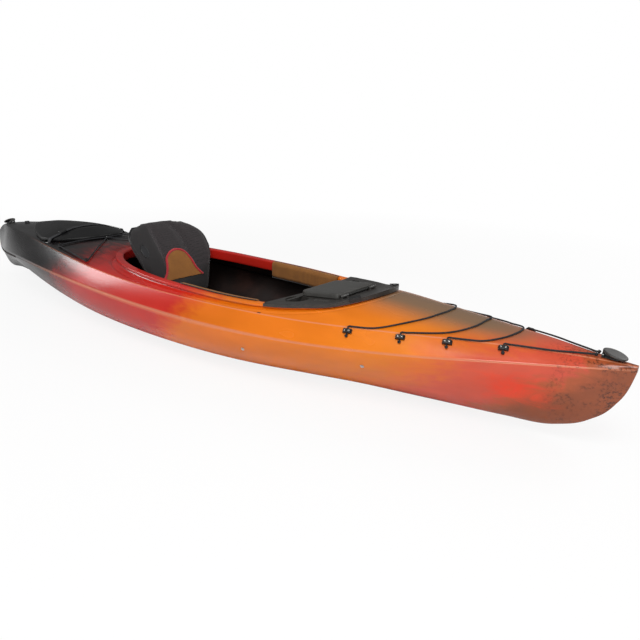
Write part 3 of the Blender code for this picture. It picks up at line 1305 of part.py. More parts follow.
def tray_skirt_mesh():
    """The edge that hangs down round the outside of the lip."""
    near, far = TRAY_SKIRT
    rings = []
    count = 22
    for k in range(-count, count + 1):
        angle = math.radians(62) * k / count
        x = LIP_MIDDLE + (LIP_FRONT - LIP_MIDDLE) * math.cos(angle)
        y = LIP_HALF_WIDTH * math.sin(angle)
        normal = Vector((math.cos(angle) * LIP_HALF_WIDTH, math.sin(angle) * (LIP_FRONT - LIP_MIDDLE)))
        normal.normalize()
        low = lip_height(x) - TRAY_SKIRT_DROP
        high = lip_height(x) + TRAY_SEAT_GAP + 0.5 * TRAY_THICKNESS
        rings.append([(x + normal.x * o, y + normal.y * o, z)
                      for o, z in ((near, low), (far, low), (far, high), (near, high))])
    return skin(rings)


def lid_ring(inset, z):
    """The lid's outline drawn in by inset, its rear corners rounder than its front ones."""
    long, wide = LID_SIZE[0] / 2 - inset, LID_SIZE[1] / 2 - inset
    rear, front = (max(radius - inset, 0.001) for radius in LID_CORNERS)
    ring = []
    for x, y, r in ((1, 1, front), (-1, 1, rear), (-1, -1, rear), (1, -1, front)):
        for k in range(6):
            turn = math.pi / 10 * (k if x * y > 0 else 5 - k)
            ring.append((x * (long - r + r * math.cos(turn)), y * (wide - r + r * math.sin(turn)), z))
    return ring


def make_work_deck():
    sheet = tray_sheet(lambda x: lip_height(x) + TRAY_SEAT_GAP, lambda x: tray_top(x) + 0.020)
    tray = add_object("work_deck", sheet, GREY_PLASTIC)
    boolean(tray, as_cutter(add_object("tray_outline", prism_mesh(tray_plan(), 0.25, 0.50), GREY_PLASTIC)),
            'INTERSECT')
    middle = (WELL_REAR + WELL_FRONT) / 2
    floor = tray_top(middle) - WELL_DEPTH
    high = tray_top(WELL_FRONT) + 0.006
    box = box_mesh((WELL_FRONT - WELL_REAR + 2 * WELL_WALL, 2 * (WELL_HALF_WIDTH + WELL_WALL), high - floor),
                   (middle, 0, (high + floor) / 2))
    join(tray, add_object("well_outside", box, GREY_PLASTIC))
    cup_floor = tray_top(CUP_AT[0]) - CUP_DEPTH
    for side in (1, -1):
        x, y = CUP_AT
        centre = (x, side * y, cup_floor + (CUP_DEPTH + 0.010) / 2)
        cup = cylinder_mesh(CUP_RADIUS + WELL_WALL, CUP_DEPTH + 0.010, centre, segments=28)
        join(tray, add_object(f"cup_outside_{side_name(side)}", cup, GREY_PLASTIC))
    join(tray, add_object("tray_skirt", tray_skirt_mesh(), GREY_PLASTIC))
    cut(tray, add_object("above_tray", tray_sheet(tray_top, lambda x: 0.48), GREY_PLASTIC))
    box = box_mesh((WELL_FRONT - WELL_REAR, 2 * WELL_HALF_WIDTH, 0.2), (middle, 0, floor + WELL_WALL + 0.1),
                   0.008, 2)
    cut(tray, add_object("well_inside", box, GREY_PLASTIC))
    for side in (1, -1):
        x, y = CUP_AT
        cup = cylinder_mesh(CUP_RADIUS, 0.2, (x, side * y, cup_floor + WELL_WALL + 0.1), segments=28)
        cut(tray, add_object(f"cup_inside_{side_name(side)}", cup, GREY_PLASTIC))

    slope = (tray_top(LID_MIDDLE + 0.08) - tray_top(LID_MIDDLE - 0.08)) / 0.16
    place = frame_at((LID_MIDDLE, 0, tray_top(LID_MIDDLE) + LID_SEAT_GAP), (1, 0, slope), (-slope, 0, 1))
    for number, y in enumerate(s * (LID_BARREL_AT + t * LID_LUG_STEP) for s in (1, -1) for t in (1, -1)):
        eye = cylinder_mesh(LID_BARREL_RADIUS, LID_LUG_LENGTH, (LID_HINGE_AHEAD, y, LID_HINGE_HEIGHT), 'Y')
        join(tray, add_object(f"lid_eye_{number}", eye, GREY_PLASTIC, place))
        foot = box_mesh((1.7 * LID_BARREL_RADIUS, LID_LUG_LENGTH - 0.0008, LID_HINGE_HEIGHT + 0.004),
                        (LID_HINGE_AHEAD, y, (LID_HINGE_HEIGHT - 0.004) / 2))
        join(tray, add_object(f"lid_foot_{number}", foot, GREY_PLASTIC, place))
    bore = cylinder_mesh(LID_PIN_RADIUS + 0.0003, 0.5, (LID_HINGE_AHEAD, 0, LID_HINGE_HEIGHT), 'Y', 16)
    cut(tray, add_object("tray_pin_bore", bore, GREY_PLASTIC, place))
    hinge = (LID_HINGE_AHEAD, 0, LID_HINGE_HEIGHT)
    pin_mesh = cylinder_mesh(LID_PIN_RADIUS, 2 * LID_PIN_HALF_LENGTH, hinge, 'Y', 16)
    pin = add_object("lid_pin", pin_mesh, STEEL, place)

    long, _, tall = LID_SIZE
    lid_rings = [(0.0, 0.0004), (0.0, tall - 0.006), (0.0014, tall - 0.0024), (0.0045, tall - 0.0004),
                 (0.012, tall + 0.3 * LID_CROWN), (0.040, tall + LID_CROWN)]
    lid = add_object("work_deck_lid", skin([lid_ring(*ring) for ring in lid_rings]), GREY_PLASTIC, place)
    flange_long, flange_wide, flange_tall = LATCH_FLANGE
    flange = box_mesh(LATCH_FLANGE, (-long / 2 - flange_long / 2 + 0.004, 0, flange_tall / 2 + 0.0008))
    join(lid, add_object("lid_flange", flange, GREY_PLASTIC, place))
    for side in (1, -1):
        y = side * LID_BARREL_AT
        centre = (LID_HINGE_AHEAD, y, LID_HINGE_HEIGHT)
        barrel = cylinder_mesh(LID_BARREL_RADIUS, LID_BARREL_LENGTH, centre, 'Y')
        join(lid, add_object(f"lid_barrel_{side_name(side)}", barrel, GREY_PLASTIC, place))
        web = box_mesh((LID_HINGE_AHEAD - long / 2 + 0.002, LID_BARREL_LENGTH - 0.0010, 0.006),
                       ((LID_HINGE_AHEAD + long / 2 - 0.002) / 2, y, LID_HINGE_HEIGHT))
        join(lid, add_object(f"lid_web_{side_name(side)}", web, GREY_PLASTIC, place))
    hollow = skin([lid_ring(LID_WALL, -0.05), lid_ring(LID_WALL, tall - LID_WALL - 0.001)])
    cut(lid, add_object("lid_hollow", hollow, GREY_PLASTIC, place))
    bore = cylinder_mesh(LID_PIN_RADIUS + 0.0003, 0.5, (LID_HINGE_AHEAD, 0, LID_HINGE_HEIGHT), 'Y', 16)
    cut(lid, add_object("lid_pin_bore", bore, GREY_PLASTIC, place))

    tab_long, tab_wide, tab_tall = LATCH_TAB
    boss = cylinder_mesh(LATCH_BOSS_RADIUS, 0.0075, (-LATCH_BEHIND, 0, 0.00375 + 0.0004))
    latch = add_object("lid_latch", boss, BLACK_PLASTIC, place)
    tab = box_mesh(LATCH_TAB, (-LATCH_BEHIND + 0.0065, 0, 0.0047 + tab_tall / 2), 0.0008, 1)
    join(latch, add_object("latch_tab", tab, BLACK_PLASTIC, place))
    pieces = [tray, pin]
    for side in (1, -1):
        x = CUP_AT[0] - CUP_BAR_BEHIND
        level = tray_top(x + CUP_BAR[0] / 2) + SEAM_GAP + CUP_BAR[2] / 2
        bar = box_mesh(CUP_BAR, (x, side * CUP_AT[1], level), 0.0006, 1)
        pieces.append(add_object(f"cup_bar_{side_name(side)}", bar, STEEL))
        pieces.append(make_clip(side))
    tray_axis = pivot("work_deck_axis", place.translation)
    lid_axis = pivot("lid_axis", place @ Vector((LID_HINGE_AHEAD, 0, LID_HINGE_HEIGHT)), (0, 1, 0))
    latch_axis = pivot("lid_latch_axis", place @ Vector((-LATCH_BEHIND, 0, 0)))
    hang(lid_axis, lid)
    hang(latch_axis, latch)
    hang(tray_axis, lid_axis, latch_axis, *pieces)


def make_clip(side):
    """A clip over the work deck's edge: a plate on top with a leg down the outside."""
    point, normal = lip_edge(CLIP_AT, side)
    rise = (tray_top(CLIP_AT + 0.02) - tray_top(CLIP_AT - 0.02)) / 0.04
    run = Vector((-normal.y, normal.x)) * -side
    along = Vector((run.x, run.y, rise * run.x)).normalized()
    origin = Vector((point.x, point.y, tray_top(point.x))) + Vector((normal.x, normal.y, 0)) * TRAY_OVERHANG
    level = Vector((normal.x, normal.y, 0))
    up = along.cross(level)
    up = up if up.z > 0 else -up
    place = frame_at(origin, along, up)
    outward_sign = 1 if (place.to_3x3() @ Vector((0, 1, 0))).dot(level) > 0 else -1
    thick = CLIP_THICKNESS
    plate_centre = (0, outward_sign * (-0.0105 + thick), 0.0022 + thick / 2)
    plate = box_mesh((CLIP_LENGTH, 0.026, thick), plate_centre)
    clip = add_object(f"work_deck_clip_{side_name(side)}", plate, BLACK_PLASTIC, place)
    leg = box_mesh((CLIP_LENGTH - 0.0006, thick, CLIP_DROP),
                   (0, outward_sign * (0.0025 + thick / 2), 0.0022 + thick - CLIP_DROP / 2 - 0.0003))
    join(clip, add_object(f"clip_leg_{side_name(side)}", leg, BLACK_PLASTIC, place))
    return clip


def build():
    for old in list(bpy.data.objects):
        bpy.data.objects.remove(old)
    collection("kayak")
    collection("cutters")
    hull = make_hull()
    make_deck()
    make_bulkhead()
    cover, gasket = make_hatch()
    strap, buckle = make_hatch_strap()
    lift = pivot("hatch_axis", (HATCH_MIDDLE, 0, deck_height(HATCH_MIDDLE, 0)))
    hang(lift, cover, gasket, strap, buckle)
    make_bow_rigging()
    make_stern_rigging()
    make_handle("bow_handle", BOW_HANDLE_AT, 1)
    make_handle("stern_handle", STERN_HANDLE_AT, -1)
    make_drain_plug()
    make_seat_frame()
    make_seat_cushion()
    make_seat_back()
    for side in (1, -1):
        make_thigh_pad(side)
        make_foot_brace(hull, side)
    make_work_deck()


build()
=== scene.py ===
"""Sit-in recreational kayak, dressed: marbled shell, seat, work deck, stern hatch and deck rigging.

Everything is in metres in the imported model's frame: +X to the bow, +Y to port and +Z up.
"""

import json
import logging
import math
from collections.abc import Callable, Sequence
from dataclasses import dataclass, field
from enum import Enum

import bmesh
import bpy
import numpy as np
from mathutils import Matrix, Vector
from mathutils.bvhtree import BVHTree
from mathutils.geometry import delaunay_2d_cdt
from mathutils.kdtree import KDTree

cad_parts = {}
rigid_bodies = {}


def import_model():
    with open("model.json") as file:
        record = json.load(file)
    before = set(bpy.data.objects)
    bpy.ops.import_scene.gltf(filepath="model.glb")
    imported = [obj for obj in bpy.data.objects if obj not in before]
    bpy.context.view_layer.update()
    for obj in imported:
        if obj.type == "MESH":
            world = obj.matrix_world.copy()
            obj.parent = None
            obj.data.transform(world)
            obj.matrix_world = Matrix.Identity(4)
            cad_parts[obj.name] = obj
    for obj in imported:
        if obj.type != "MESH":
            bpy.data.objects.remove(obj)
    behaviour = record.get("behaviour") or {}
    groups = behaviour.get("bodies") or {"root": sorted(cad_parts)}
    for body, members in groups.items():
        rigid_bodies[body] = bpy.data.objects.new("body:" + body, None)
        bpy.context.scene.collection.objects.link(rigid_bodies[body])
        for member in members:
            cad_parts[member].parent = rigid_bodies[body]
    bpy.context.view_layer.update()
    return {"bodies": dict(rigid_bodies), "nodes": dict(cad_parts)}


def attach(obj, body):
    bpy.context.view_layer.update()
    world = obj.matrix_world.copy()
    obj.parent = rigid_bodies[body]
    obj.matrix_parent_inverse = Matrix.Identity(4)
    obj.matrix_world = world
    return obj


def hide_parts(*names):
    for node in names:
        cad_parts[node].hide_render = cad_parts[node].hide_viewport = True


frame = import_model()
LOG = logging.getLogger("kayak")

Point = tuple[float, float, float]
Table = tuple[tuple[float, float], ...]

# What a noise pattern's values mostly lie between.
NOISE_REACH = (0.3, 0.7)

# Towards the stern.
AFT = Vector((-1, 0, 0))


# Nodes and finishes

def linear(colour: str) -> tuple[float, float, float, float]:
    """Turn an sRGB hex colour to the linear values that shaders take.

    Args:
        colour: Colour as "#rrggbb".

    Returns:
        Linear red, green and blue, and full opacity.
    """
    parts = [int(colour[i:i + 2], 16) / 255 for i in (1, 3, 5)]
    bright = [p / 12.92 if p <= 0.04045 else ((p + 0.055) / 1.055) ** 2.4 for p in parts]
    return (*bright, 1.0)


def add_node(tree: bpy.types.NodeTree, kind: str, settings: dict | None = None,
             inputs: dict | None = None) -> bpy.types.Node:
    """Add a node with its settings, values and links.

    Args:
        tree: Tree that gets the node.
        kind: The node's type name.
        settings: Values of its properties.
        inputs: Values, or sockets to link from, by input name or index.

    Returns:
        The node.
    """
    node = tree.nodes.new(kind)
    for key, value in (settings or {}).items():
        setattr(node, key, value)
    for key, value in (inputs or {}).items():
        if isinstance(value, bpy.types.NodeSocket):
            tree.links.new(value, node.inputs[key])
        else:
            node.inputs[key].default_value = value
    return node


def set_ramp(node: bpy.types.Node, stops: Sequence[tuple[float, str]]) -> None:
    """Give a colour ramp its stops.

    Args:
        node: The ramp.
        stops: Place from 0 to 1 and sRGB hex colour of each stop.
    """
    elements = node.color_ramp.elements
    while len(elements) > 1:
        elements.remove(elements[-1])
    elements[0].position, elements[0].color = stops[0][0], linear(stops[0][1])
    for place, colour in stops[1:]:
        elements.new(place).color = linear(colour)


def band_of(tree: bpy.types.NodeTree, value: bpy.types.NodeSocket, low: float,
            high: float) -> bpy.types.NodeSocket:
    """Fade a value smoothly from 0 at low to 1 at high.

    Args:
        tree: Tree that gets the node.
        value: Socket to read.
        low: Value that gives 0.
        high: Value that gives 1.

    Returns:
        The faded value's socket.
    """
    return add_node(tree, "ShaderNodeMapRange", {"interpolation_type": 'SMOOTHSTEP'},
                    {0: value, 1: low, 2: high}).outputs[0]


def calc(tree: bpy.types.NodeTree, operation: str,
         *values: float | bpy.types.NodeSocket) -> bpy.types.NodeSocket:
    """Do one sum in a shader.

    Args:
        tree: Tree that gets the node.
        operation: Name of the sum.
        values: Numbers, or sockets to link from.

    Returns:
        The result's socket.
    """
    return add_node(tree, "ShaderNodeMath", {"operation": operation}, dict(enumerate(values))).outputs[0]


def mixed_colour(tree: bpy.types.NodeTree, share: bpy.types.NodeSocket,
                 first: tuple | bpy.types.NodeSocket, second: tuple | bpy.types.NodeSocket
                 ) -> bpy.types.NodeSocket:
    """Mix two colours.

    Args:
        tree: Tree that gets the node.
        share: Share of the second colour.
        first: Colour at share 0.
        second: Colour at share 1.

    Returns:
        The mixed colour's socket.
    """
    return add_node(tree, "ShaderNodeMix", {"data_type": 'RGBA'}, {0: share, 6: first, 7: second}).outputs[2]


def noise(tree: bpy.types.NodeTree, coords: bpy.types.NodeSocket, **values: float) -> bpy.types.NodeSocket:
    """Add a noise pattern.

    Args:
        tree: Tree that gets the node.
        coords: Coordinates to read it at.
        values: Its inputs by name.

    Returns:
        Socket of the pattern, mostly within NOISE_REACH.
    """
    return add_node(tree, "ShaderNodeTexNoise", None, {"Vector": coords, **values}).outputs[0]


def varied(tree: bpy.types.NodeTree, pattern: bpy.types.NodeSocket, low: float,
           high: float) -> bpy.types.NodeSocket:
    """Let a value vary with a noise pattern, whose usual reach is NOISE_REACH.

    Args:
        tree: Tree that gets the node.
        pattern: The pattern.
        low: Value where the pattern is weak.
        high: Value where it is strong.

    Returns:
        The value's socket.
    """
    return add_node(tree, "ShaderNodeMapRange", None,
                    {0: pattern, 1: NOISE_REACH[0], 2: NOISE_REACH[1], 3: low, 4: high}).outputs[0]


class Side(Enum):
    """A side of the boat, by the sign of its place across."""

    LEFT = 1
    RIGHT = -1

    @property
    def word(self) -> str:
        """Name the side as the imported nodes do."""
        return self.name.lower()


@dataclass(frozen=True)
class Finish:
    """A named finish, made into a material once.

    Attributes:
        name: The real material and how its surface was made.
        slot: The record's material slot.
    """

    name: str
    slot: str

    def material(self) -> bpy.types.Material:
        """Make the material, or find it again.

        Returns:
            The material.
        """
        found = bpy.data.materials.get(self.name)
        if found:
            return found
        made = bpy.data.materials.new(self.name)
        made.use_nodes = True
        tree = made.node_tree
        place = add_node(tree, "ShaderNodeTexCoord")
        self.paint(tree, tree.nodes["Principled BSDF"], place)
        return made

    def paint(self, tree: bpy.types.NodeTree, shader: bpy.types.Node, place: bpy.types.Node) -> None:
        """Fill in the shader, in each kind of finish."""

    def bump(self, tree: bpy.types.NodeTree, shader: bpy.types.Node, height: bpy.types.NodeSocket,
             strength: float, distance: float) -> None:
        """Raise the surface by a height pattern.

        Args:
            tree: The material's tree.
            shader: Its Principled shader.
            height: The pattern.
            strength: How much of the relief shows.
            distance: Height of the relief in metres.
        """
        relief = add_node(tree, "ShaderNodeBump", None,
                          {"Strength": strength, "Distance": distance, "Height": height})
        tree.links.new(relief.outputs[0], shader.inputs["Normal"])


@dataclass(frozen=True)
class MarbledPolyethylene(Finish):
    """Rotomoulded polyethylene: powders of four colours melted into each other along the boat.

    The slow melt gives wavy borders with streaks, a skin between gloss and satin, and a faint
    orange-peel relief about 8 mm across.

    Attributes:
        stops: Place along the boat in metres, and colour, of each stop of the blend.
        reach: Half the boat's length.
    """

    stops: tuple[tuple[float, str], ...] = (
        (-1.90, "#0e0d0e"), (-0.80, "#120f10"), (-0.69, "#31100f"), (-0.57, "#841713"), (-0.42, "#b51c16"),
        (0.26, "#bf2418"), (0.36, "#cc4a14"), (0.46, "#d96c0e"), (1.26, "#dc770f"), (1.42, "#da6a22"),
        (1.56, "#d05236"), (1.72, "#c94b33"), (1.80, "#a8502a"), (1.90, "#8a4524"))
    reach: float = 1.905

    def paint(self, tree: bpy.types.NodeTree, shader: bpy.types.Node, place: bpy.types.Node) -> None:
        """Colour the shell along its length, with warped borders, a blotch and specks at the bow.

        Args:
            tree: The material's tree.
            shader: Its Principled shader.
            place: Its texture coordinates.
        """
        coords = place.outputs["Object"]
        lean = add_node(tree, "ShaderNodeSeparateXYZ", None, {0: coords})
        along = lean.outputs[0]
        low = calc(tree, 'MULTIPLY_ADD', lean.outputs[2], -1.2, 0.35)
        slanted = calc(tree, 'ADD', along, low)
        drift = noise(tree, coords, Scale=2.4, Detail=4.0, Roughness=0.55, Distortion=0.9)
        drawn = add_node(tree, "ShaderNodeMapping", None, {0: coords, 3: (0.5, 1.6, 1.6)})
        streak = noise(tree, drawn.outputs[0], Scale=11.0, Detail=5.0, Roughness=0.62, Distortion=1.6)
        shift = calc(tree, 'MULTIPLY_ADD', drift, 0.42, slanted)
        shift = calc(tree, 'MULTIPLY_ADD', streak, 0.26, shift)
        spread = add_node(tree, "ShaderNodeMapRange", None,
                          {0: shift, 1: -self.reach + 0.34, 2: self.reach + 0.34})
        ramp = add_node(tree, "ShaderNodeValToRGB", None, {0: spread.outputs[0]})
        set_ramp(ramp, [((x + self.reach) / (2 * self.reach), colour) for x, colour in self.stops])

        spot = add_node(tree, "ShaderNodeMapping", None, {0: coords, 1: (-1.58, 0.0, -0.30),
                                                          3: (1.0, 0.0, 1.7)})
        far = add_node(tree, "ShaderNodeVectorMath", {"operation": 'LENGTH'}, {0: spot.outputs[0]})
        wavy = calc(tree, 'MULTIPLY_ADD', streak, 0.22, far.outputs[1])
        blotch = calc(tree, 'SUBTRACT', 1.0, band_of(tree, wavy, 0.10, 0.27))
        hot = mixed_colour(tree, blotch, ramp.outputs[0], linear("#dd3a17"))

        cloud = noise(tree, drawn.outputs[0], Scale=6.0, Detail=2.0, Roughness=0.5)
        shade = varied(tree, cloud, 0.90, 1.08)
        toned = add_node(tree, "ShaderNodeVectorMath", {"operation": 'SCALE'},
                         {0: hot, 3: shade})

        # Painted reflection: the fore deck's crown is mixed towards grey-brown, a sheen of the sky on the
        # glossy top.
        off_middle = calc(tree, 'ABSOLUTE', lean.outputs[1])
        crown = calc(tree, 'MULTIPLY', band_of(tree, off_middle, 0.20, 0.03),
                     band_of(tree, lean.outputs[2], 0.300, 0.345))
        fore = calc(tree, 'MULTIPLY', band_of(tree, along, 0.90, 1.06), band_of(tree, along, 1.70, 1.50))
        painted_sheen_mask = calc(tree, 'MULTIPLY', crown, fore)
        with_painted_sheen = mixed_colour(tree, painted_sheen_mask, toned.outputs[0], linear("#7c6047"))
        # Painted highlight: a pale line along the chine and the crease, fading in from the black stern, where
        # the rounded edges catch the light.
        ridge = add_node(tree, "ShaderNodeAttribute", {"attribute_name": "ridge"})
        wear_and_highlight = calc(tree, 'MULTIPLY', ridge.outputs[2], band_of(tree, along, -1.25, -0.35))
        rubbed = mixed_colour(tree, wear_and_highlight, with_painted_sheen, linear("#d88a68"))
        grit = noise(tree, coords, Scale=95.0, Detail=4.0, Roughness=0.75)
        fog = noise(tree, coords, Scale=14.0, Detail=2.0)
        patchy = calc(tree, 'MULTIPLY', band_of(tree, grit, 0.48, 0.62), band_of(tree, fog, 0.40, 0.62))
        specks = calc(tree, 'MULTIPLY', patchy, band_of(tree, along, 1.60, 1.80))
        final = mixed_colour(tree, specks, rubbed, linear("#4a2618"))
        tree.links.new(final, shader.inputs["Base Color"])
        tree.links.new(varied(tree, cloud, 0.20, 0.28), shader.inputs["Roughness"])
        shader.inputs["IOR"].default_value = 1.51
        peel = noise(tree, coords, Scale=70.0, Detail=0.0)
        self.bump(tree, shader, peel, 0.05, 0.0006)


@dataclass(frozen=True)
class MouldInside(Finish):
    """Inside of a rotomoulded shell: matt, coloured in dark browns, with the pitted skin that cooled against
    air.
    """

    def paint(self, tree: bpy.types.NodeTree, shader: bpy.types.Node, place: bpy.types.Node) -> None:
        """Colour the inside in dark browns and pit it.

        Args:
            tree: The material's tree.
            shader: Its Principled shader.
            place: Its texture coordinates.
        """
        coords = place.outputs["Object"]
        melt = noise(tree, coords, Scale=5.0, Detail=4.0, Roughness=0.6)
        ramp = add_node(tree, "ShaderNodeValToRGB", None, {0: melt})
        set_ramp(ramp, [(0.34, "#140b09"), (0.52, "#21110c"), (0.70, "#3a2018")])
        tree.links.new(ramp.outputs[0], shader.inputs["Base Color"])
        shader.inputs["Roughness"].default_value = 0.62
        pits = noise(tree, coords, Scale=160.0, Detail=3.0)
        self.bump(tree, shader, pits, 0.3, 0.0008)


@dataclass(frozen=True)
class GrainedPlastic(Finish):
    """Injection-moulded plastic with a spark-eroded grain of about half a millimetre.

    The grain breaks the highlights up into a satin, and faint paler marks come from handling.

    Attributes:
        colour: Colour of the plastic.
        rubbed: Colour of its handling marks.
        roughness: Its middle roughness.
        grain: Scale of the grain.
    """

    colour: str = "#111112"
    rubbed: str = "#1e1e1f"
    roughness: float = 0.42
    grain: float = 1100.0

    def paint(self, tree: bpy.types.NodeTree, shader: bpy.types.Node, place: bpy.types.Node) -> None:
        """Colour the plastic with faint handling marks and its grain.

        Args:
            tree: The material's tree.
            shader: Its Principled shader.
            place: Its texture coordinates.
        """
        coords = place.outputs["Object"]
        marks = noise(tree, coords, Scale=34.0, Detail=5.0, Roughness=0.65)
        ramp = add_node(tree, "ShaderNodeValToRGB", None, {0: marks})
        set_ramp(ramp, [(0.30, self.colour), (0.78, self.rubbed)])
        tree.links.new(ramp.outputs[0], shader.inputs["Base Color"])
        wear_and_highlight = varied(tree, marks, self.roughness - 0.06, self.roughness + 0.07)
        tree.links.new(wear_and_highlight, shader.inputs["Roughness"])
        shader.inputs["IOR"].default_value = 1.49
        grain = noise(tree, coords, Scale=self.grain, Detail=1.0)
        self.bump(tree, shader, grain, 0.35, 0.00025)


@dataclass(frozen=True)
class BrushedSteel(Finish):
    """Stainless steel, turned and polished: bright, with fine turning marks.

    Attributes:
        colour: Colour of the metal.
    """

    colour: str = "#c4c3bf"

    def paint(self, tree: bpy.types.NodeTree, shader: bpy.types.Node, place: bpy.types.Node) -> None:
        """Make a bright metal whose gloss varies with the turning marks.

        Args:
            tree: The material's tree.
            shader: Its Principled shader.
            place: Its texture coordinates.
        """
        marks = noise(tree, place.outputs["Object"], Scale=900.0, Detail=2.0)
        shader.inputs["Base Color"].default_value = linear(self.colour)
        shader.inputs["Metallic"].default_value = 1.0
        tree.links.new(varied(tree, marks, 0.18, 0.34), shader.inputs["Roughness"])


@dataclass(frozen=True)
class BraidedSheath(Finish):
    """Braided polyester over rubber strands: two sets of yarns cross at 45 degrees.

    The yarns are drawn 3.3 mm apart, coarser than real so that they show.

    Attributes:
        colour: Colour between the yarns.
        thread: Colour of the yarns.
    """

    colour: str = "#131315"
    thread: str = "#3b3b40"

    def paint(self, tree: bpy.types.NodeTree, shader: bpy.types.Node, place: bpy.types.Node) -> None:
        """Cross two sets of yarns, in turns round the cord and metres along it.

        Args:
            tree: The material's tree.
            shader: Its Principled shader.
            place: Its texture coordinates.
        """
        flat = add_node(tree, "ShaderNodeMapping", None, {0: place.outputs["UV"], 3: (4.0, 210.0, 1.0)})
        sets = []
        for turn in (math.radians(45), math.radians(-45)):
            turned = add_node(tree, "ShaderNodeMapping", None, {0: flat.outputs[0], 2: (0, 0, turn)})
            sets.append(add_node(tree, "ShaderNodeTexWave", {"wave_type": 'BANDS', "bands_direction": 'X'},
                                 {"Vector": turned.outputs[0], "Scale": 0.45}))
        crossed = calc(tree, 'MULTIPLY', sets[0].outputs[1], sets[1].outputs[1])
        tint = mixed_colour(tree, crossed, linear(self.colour), linear(self.thread))
        tree.links.new(tint, shader.inputs["Base Color"])
        shader.inputs["Roughness"].default_value = 0.82
        self.bump(tree, shader, crossed, 0.6, 0.0006)


@dataclass(frozen=True)
class WovenFabric(Finish):
    """Woven polyester: a plain weave whose yarns catch the light, with a soft sheen.

    The weave is drawn at 2 mm, coarser than the real 0.8 mm, so that it shows.

    Attributes:
        colour: Colour between the yarns.
        thread: Colour of the yarns.
        pitch: Distance from yarn to yarn.
        sheen: Strength of the sheen.
    """

    colour: str = "#2b2729"
    thread: str = "#4a4446"
    pitch: float = 0.002
    sheen: float = 0.25

    def paint(self, tree: bpy.types.NodeTree, shader: bpy.types.Node, place: bpy.types.Node) -> None:
        """Cross warp and weft over the piece, with slow variation as of use.

        Args:
            tree: The material's tree.
            shader: Its Principled shader.
            place: Its texture coordinates.
        """
        coords = place.outputs["Object"]
        per_metre = 2 * math.pi / self.pitch / 20
        bands = [add_node(tree, "ShaderNodeTexWave", {"wave_type": 'BANDS', "bands_direction": way},
                          {"Vector": coords, "Scale": per_metre, "Distortion": 0.4})
                 for way in ('Y', 'Z', 'X')]
        woven = calc(tree, 'MULTIPLY', bands[0].outputs[1], bands[1].outputs[1])
        woven = calc(tree, 'MAXIMUM', woven, bands[2].outputs[1])
        used = noise(tree, coords, Scale=16.0, Detail=4.0, Roughness=0.6)
        mixed = calc(tree, 'MULTIPLY', woven, used)
        tint = mixed_colour(tree, mixed, linear(self.colour), linear(self.thread))
        tree.links.new(tint, shader.inputs["Base Color"])
        shader.inputs["Roughness"].default_value = 0.9
        shader.inputs["Sheen Weight"].default_value = self.sheen
        shader.inputs["Sheen Roughness"].default_value = 0.5
        self.bump(tree, shader, woven, 0.5, 0.0004)


@dataclass(frozen=True)
class SpacerMesh(Finish):
    """Knitted spacer mesh over foam: rounded cells about 5 mm across with dark holes.

    The starboard wing is bare foam and smooth, as the cover stops at a seam there.

    Attributes:
        colour: Colour of the knit.
        hole: Colour of its holes.
        foam: Colour of the bare foam.
        seam_y: Place across the boat where the cover stops.
    """

    colour: str = "#2a2325"
    hole: str = "#080707"
    foam: str = "#1a1617"
    seam_y: float = -0.088

    def paint(self, tree: bpy.types.NodeTree, shader: bpy.types.Node, place: bpy.types.Node) -> None:
        """Knit the cells, and leave the starboard wing smooth.

        Args:
            tree: The material's tree.
            shader: Its Principled shader.
            place: Its texture coordinates.
        """
        coords = place.outputs["Object"]
        cells = add_node(tree, "ShaderNodeTexVoronoi", {"feature": 'DISTANCE_TO_EDGE'},
                         {"Vector": coords, "Scale": 120.0, "Randomness": 0.25})
        ribs = band_of(tree, cells.outputs[0], 0.34, 0.10)
        apart = add_node(tree, "ShaderNodeSeparateXYZ", None, {0: coords})
        covered = band_of(tree, apart.outputs[1], self.seam_y - 0.002, self.seam_y + 0.002)
        knit = mixed_colour(tree, ribs, linear(self.hole), linear(self.colour))
        blend = mixed_colour(tree, covered, linear(self.foam), knit)
        # The pad turns near black towards its foot, reaching higher up at the wings.
        wing = calc(tree, 'ABSOLUTE', apart.outputs[1])
        sink = calc(tree, 'MULTIPLY', wing, 0.35)
        tall = calc(tree, 'SUBTRACT', apart.outputs[2], sink)
        foot = mixed_colour(tree, band_of(tree, tall, 0.245, 0.195), blend, linear("#0d0b0b"))
        tree.links.new(foot, shader.inputs["Base Color"])
        shader.inputs["Roughness"].default_value = 0.8
        shader.inputs["Sheen Weight"].default_value = 0.12
        pores = noise(tree, coords, Scale=700.0, Detail=2.0)
        height = calc(tree, 'MULTIPLY', ribs, covered)
        summed = calc(tree, 'MULTIPLY_ADD', pores, 0.25, height)
        self.bump(tree, shader, summed, 0.6, 0.0011)


@dataclass(frozen=True)
class SoftRubber(Finish):
    """Moulded rubber or closed-cell foam: matt, with fine pores.

    Attributes:
        colour: Colour in the pores.
        pores: Scale of the pores.
    """

    colour: str = "#18181a"
    pores: float = 600.0

    def paint(self, tree: bpy.types.NodeTree, shader: bpy.types.Node, place: bpy.types.Node) -> None:
        """Make a matt surface with pores.

        Args:
            tree: The material's tree.
            shader: Its Principled shader.
            place: Its texture coordinates.
        """
        coords = place.outputs["Object"]
        pores = add_node(tree, "ShaderNodeTexVoronoi", None, {"Vector": coords, "Scale": self.pores})
        tint = mixed_colour(tree, pores.outputs[0], linear(self.colour), linear("#2c2c2e"))
        tree.links.new(tint, shader.inputs["Base Color"])
        shader.inputs["Roughness"].default_value = 0.9
        self.bump(tree, shader, pores.outputs[0], 0.3, 0.0004)


